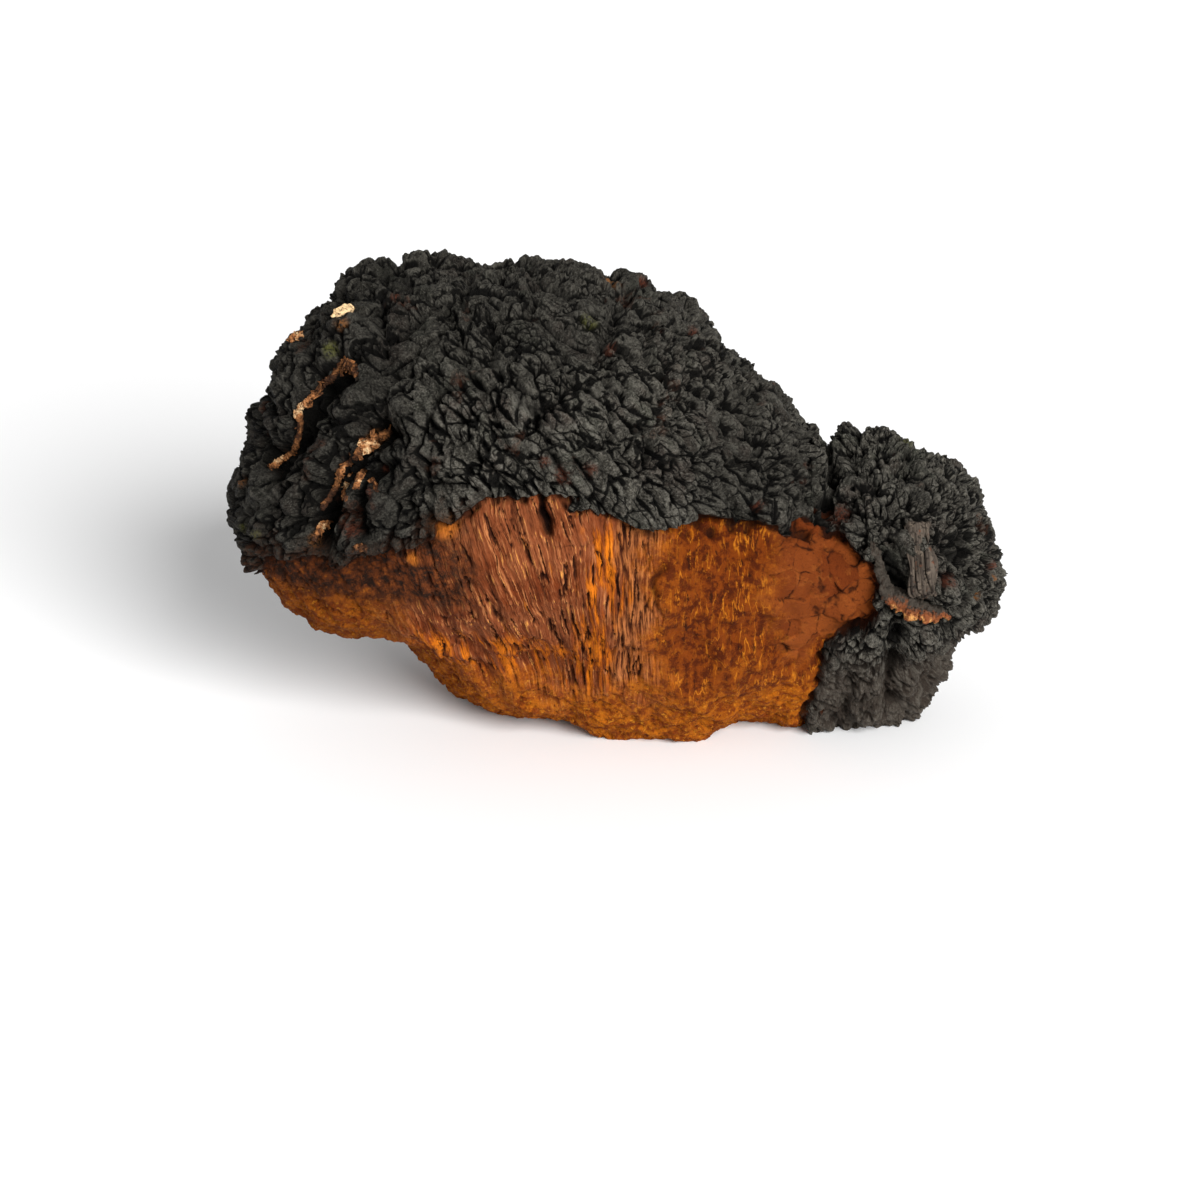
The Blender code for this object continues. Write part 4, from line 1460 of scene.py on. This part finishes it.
def bark_block(name, skin, material, points, width, depth, stands_out, relief):
    """A block of bark along a run of three picture points, with relief; its own axes stay with it."""
    top, middle, foot = (seen_spot(skin, *point) for point in points)
    up = (top[0] - foot[0]).normalized()
    out = (middle[1] - up * middle[1].dot(up)).normalized()
    turn = Matrix((up.cross(out), out, up)).transposed()
    size = Vector((width, depth, (top[0] - foot[0]).length / MM))
    centre = (top[0] + foot[0]) / 2 + out * (stands_out - depth / 2) * MM
    bm = bmesh.new()
    bmesh.ops.create_cube(bm, size=1.0, matrix=Matrix.Diagonal((*(size * MM), 1.0)))
    mesh = bpy.data.meshes.new(name)
    bm.to_mesh(mesh)
    bm.free()
    piece = new_object(name, mesh)
    rounded = piece.modifiers.new("Bevel", "BEVEL")
    rounded.width = BLOCK_ROUND * MM
    rounded.segments = 2
    settle(piece)
    remesh(piece, BLOCK_VOXEL)
    own = points_of(piece.data) / MM
    moved = own + normals_of(piece.data) * relief(own)[:, None]
    piece.data.vertices.foreach_set("co", (moved * MM).astype(np.float32).ravel())
    piece.data.transform(Matrix.Translation(centre) @ turn.to_4x4())
    keep_values(piece.data, "own_place", own)
    keep_values(piece.data, "pale", CHIP_PALE[0] + CHIP_PALE[1] * own[:, 2] / size[2])
    piece.data.materials.append(material)
    return piece


def slab_relief(p):
    wavy = p * (1, 1, SLAB_RIB_STRETCH)
    furrows = np.exp(-((swell(wavy, ((2.4, 1.0),)) / 0.09) ** 2))
    return swell(p, ((9.0, 2.0), (4.0, 0.8))) + swell(wavy, ((1.3, 0.5),)) - 1.3 * furrows


def chip_relief(p):
    return swell(p, ((5.0, 1.2), (2.0, 0.5), (0.9, 0.2))) - CHIP_TAPER * np.abs(p[:, 2]) / 4


def bark_flap(skin, material):
    """The curled flap under the lobe's front, with a torn fibrous rim."""
    rows = FLAP_ACROSS
    columns = FLAP_ALONG
    roots = [seen_spot(skin, *spot)[0] for spot in FLAP_ROOT]
    rims_at = []
    for across, down, lift in FLAP_RIM:
        spot, _ = seen_spot(skin, across, down)
        rims_at.append(spot - seen_ray(across, down)[1] * lift * MM)
    places = []
    for i in range(columns):
        s = i / (columns - 1) * (len(roots) - 1)
        k = min(int(s), len(roots) - 2)
        root = roots[k].lerp(roots[k + 1], s - k)
        rim = rims_at[k].lerp(rims_at[k + 1], s - k)
        broad_tear = noise.noise(Vector((s * 3.1, 0, 0)))
        fine_tear = noise.noise(Vector((s * 9, 5, 0)))
        torn = 1 + FLAP_TEAR * broad_tear + FLAP_TEAR * fine_tear
        for j in range(rows):
            t = j / (rows - 1)
            bulge = Vector((0, -0.4, 1)) * FLAP_BULGE * math.sin(math.pi * t) * MM
            places.append(root.lerp(rim, t * torn) + bulge)
    faces = [(i * rows + j, i * rows + j + 1, (i + 1) * rows + j + 1, (i + 1) * rows + j)
             for i in range(columns - 1) for j in range(rows - 1)]
    mesh = bpy.data.meshes.new("bark_torn_flap")
    mesh.from_pydata(places, [], faces)
    keep_values(mesh, "rim", [j / (rows - 1) for _ in range(columns) for j in range(rows)])
    keep_values(mesh, "run", [i / (columns - 1) for i in range(columns) for _ in range(rows)])
    piece = new_object("bark_torn_flap", mesh)
    thick = piece.modifiers.new("Solidify", "SOLIDIFY")
    thick.thickness = FLAP_THICKNESS * MM
    thick.offset = 0.0
    finer = piece.modifiers.new("Subdivision", "SUBSURF")
    finer.levels = 1
    finer.render_levels = 1
    settle(piece)
    relieved(piece, lambda p: swell(p, ((4.0, 1.4), (1.6, 1.0), (0.8, 0.5))))
    piece.data.materials.append(material)
    return piece


def bark_grain_group():
    """Flecks, streaks and pits of bark at a point, for every bark material."""
    inputs = {"Place": ("vector", None), "Size": ("value", 1.0), "Stretch": ("vector", None)}
    tree, n, given, result = new_tree("bark grain", "ShaderNodeTree", inputs,
                                      {"Fleck": "value", "Streak": "value", "Pit": "value"})
    at = n.scaled(given["Place"], n.over(1.0, given["Size"]))
    n.put(result["Fleck"], n.grain(at, 0.5, 4.0, 0.65))
    n.put(result["Streak"], n.grain(n.stretched(at, given["Stretch"]), 1.0, 3.0, 0.6))
    n.put(result["Pit"], n.rise(n.grain(at, 1.4, 2.0, 0.6), 0.44, 0.34))
    return tree


def bark_material(name, group, place, size, stretch):
    """A bark finish: grain from the shared group, and the layers of paint of that name."""
    material = bpy.data.materials.new(name)
    material.use_nodes = True
    n = Nodes(material.node_tree)
    shader = material.node_tree.nodes["Principled BSDF"]
    if place is None:
        place = n.scaled(n.add("ShaderNodeTexCoord").outputs["Object"], 1 / MM)
    else:
        place = attribute(n, place, "Vector")
    grain = place_group(n, group, Place=place, Size=size, Stretch=stretch)
    fleck, streak, pit = (grain[label] for label in ("Fleck", "Streak", "Pit"))
    rim = n.add_up(attribute(n, "rim"), n.times(n.about_half(fleck), 0.9))
    masks = {
        "fleck": fleck, "streak": streak, "pit": pit,
        "pale": n.add_up(attribute(n, "pale"), n.times(n.minus(fleck, 0.55), 2.4)),
        "rim": n.times(rim, n.rise(attribute(n, "run"), 0.30, 0.50, 0.6, 1.0)),
    }
    n.put(shader.inputs["Base Color"], n.painted(masks, {name: BARK_PAINTS[name]})[name])
    shader.inputs["Roughness"].default_value = 0.8
    shader.inputs["Specular IOR Level"].default_value = 0.15
    rough = n.add_up(n.times(fleck, 0.7), n.times(streak, 0.7), n.times(pit, -0.4))
    n.put(shader.inputs["Normal"], n.bump(rough, 0.8, 1.0))
    return material


def bark_pieces(skin):
    """Every scrap of bark, with the CAD node that it stands for."""
    group = bark_grain_group()
    scraps = bark_material("birch_bark", group, None, 1.3, (1.0, 1.0, 1.0))
    slab = bark_material("grey_bark", group, "own_place", 1.6, (1.6, 1.6, 0.14))
    flap = bark_material("torn_bark", group, None, 1.1, (1.8, 0.3, 0.9))
    tree = bark_tree()
    chip = bark_block("bark_pale_chip", skin, scraps, CHIP, CHIP_WIDTH, CHIP_DEPTH, CHIP_STANDS_OUT,
                      chip_relief)
    ribbed = bark_block("bark_ribbed_slab", skin, slab, SLAB, SLAB_WIDTH, SLAB_DEPTH, SLAB_STANDS_OUT,
                        slab_relief)
    return (
        (bark_along("bark_upper_strip", skin, (STRIP_UPPER,), tree, scraps), "bark_strip_upper"),
        (bark_along("bark_lower_strip", skin, (STRIP_LOWER,), tree, scraps), "bark_strip_lower"),
        (bark_along("bark_small_scraps", skin, SMALL_SCRAPS, tree, scraps), None),
        (chip, "bark_chip"),
        (ribbed, "bark_plate"),
        (bark_flap(skin, flap), "bark_flap"),
    )


def set_stage():
    """A plain pale floor and soft light."""
    bm = bmesh.new()
    bmesh.ops.create_circle(bm, cap_ends=True, radius=FLOOR_RADIUS, segments=FLOOR_SIDES)
    mesh = bpy.data.meshes.new("floor")
    bm.to_mesh(mesh)
    bm.free()
    floor = new_object("floor", mesh)
    paint = bpy.data.materials.new("floor_paint")
    paint.use_nodes = True
    shader = paint.node_tree.nodes["Principled BSDF"]
    shader.inputs["Base Color"].default_value = FLOOR_GREY
    shader.inputs["Roughness"].default_value = FLOOR_ROUGHNESS
    mesh.materials.append(paint)
    world = bpy.data.worlds.new("studio")
    world.use_nodes = True
    world.node_tree.nodes["Background"].inputs["Color"].default_value = (1, 1, 1, 1)
    world.node_tree.nodes["Background"].inputs["Strength"].default_value = WORLD_LIGHT
    bpy.context.scene.world = world
    light = bpy.data.lights.new("key", "SUN")
    light.energy = KEY_POWER
    light.angle = math.radians(KEY_SPREAD)
    lamp = new_object("key", light)
    lamp.rotation_euler = Vector(KEY_FROM).to_track_quat("Z", "Y").to_euler()
    bpy.context.scene.view_settings.view_transform = "Standard"


def set_camera():
    tilt = math.radians(LOOK_DOWN)
    back = Vector((0, -math.cos(tilt), math.sin(tilt)))
    camera = new_object("camera", bpy.data.cameras.new("camera"))
    camera.location = (Vector(LOOK_AT) + back * STAND_BACK) * MM
    camera.rotation_euler = (math.radians(90) - tilt, 0, 0)
    camera.data.sensor_width = SENSOR
    camera.data.lens = LENS
    bpy.context.scene.camera = camera


def main():
    set_camera()
    set_stage()
    pieces, skin = conk_skin(conk_material())
    for piece in pieces:
        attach(piece, "root")
        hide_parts("conk")
    for piece, node in bark_pieces(skin):
        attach(piece, "root")
        if node:
            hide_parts(node)


main()
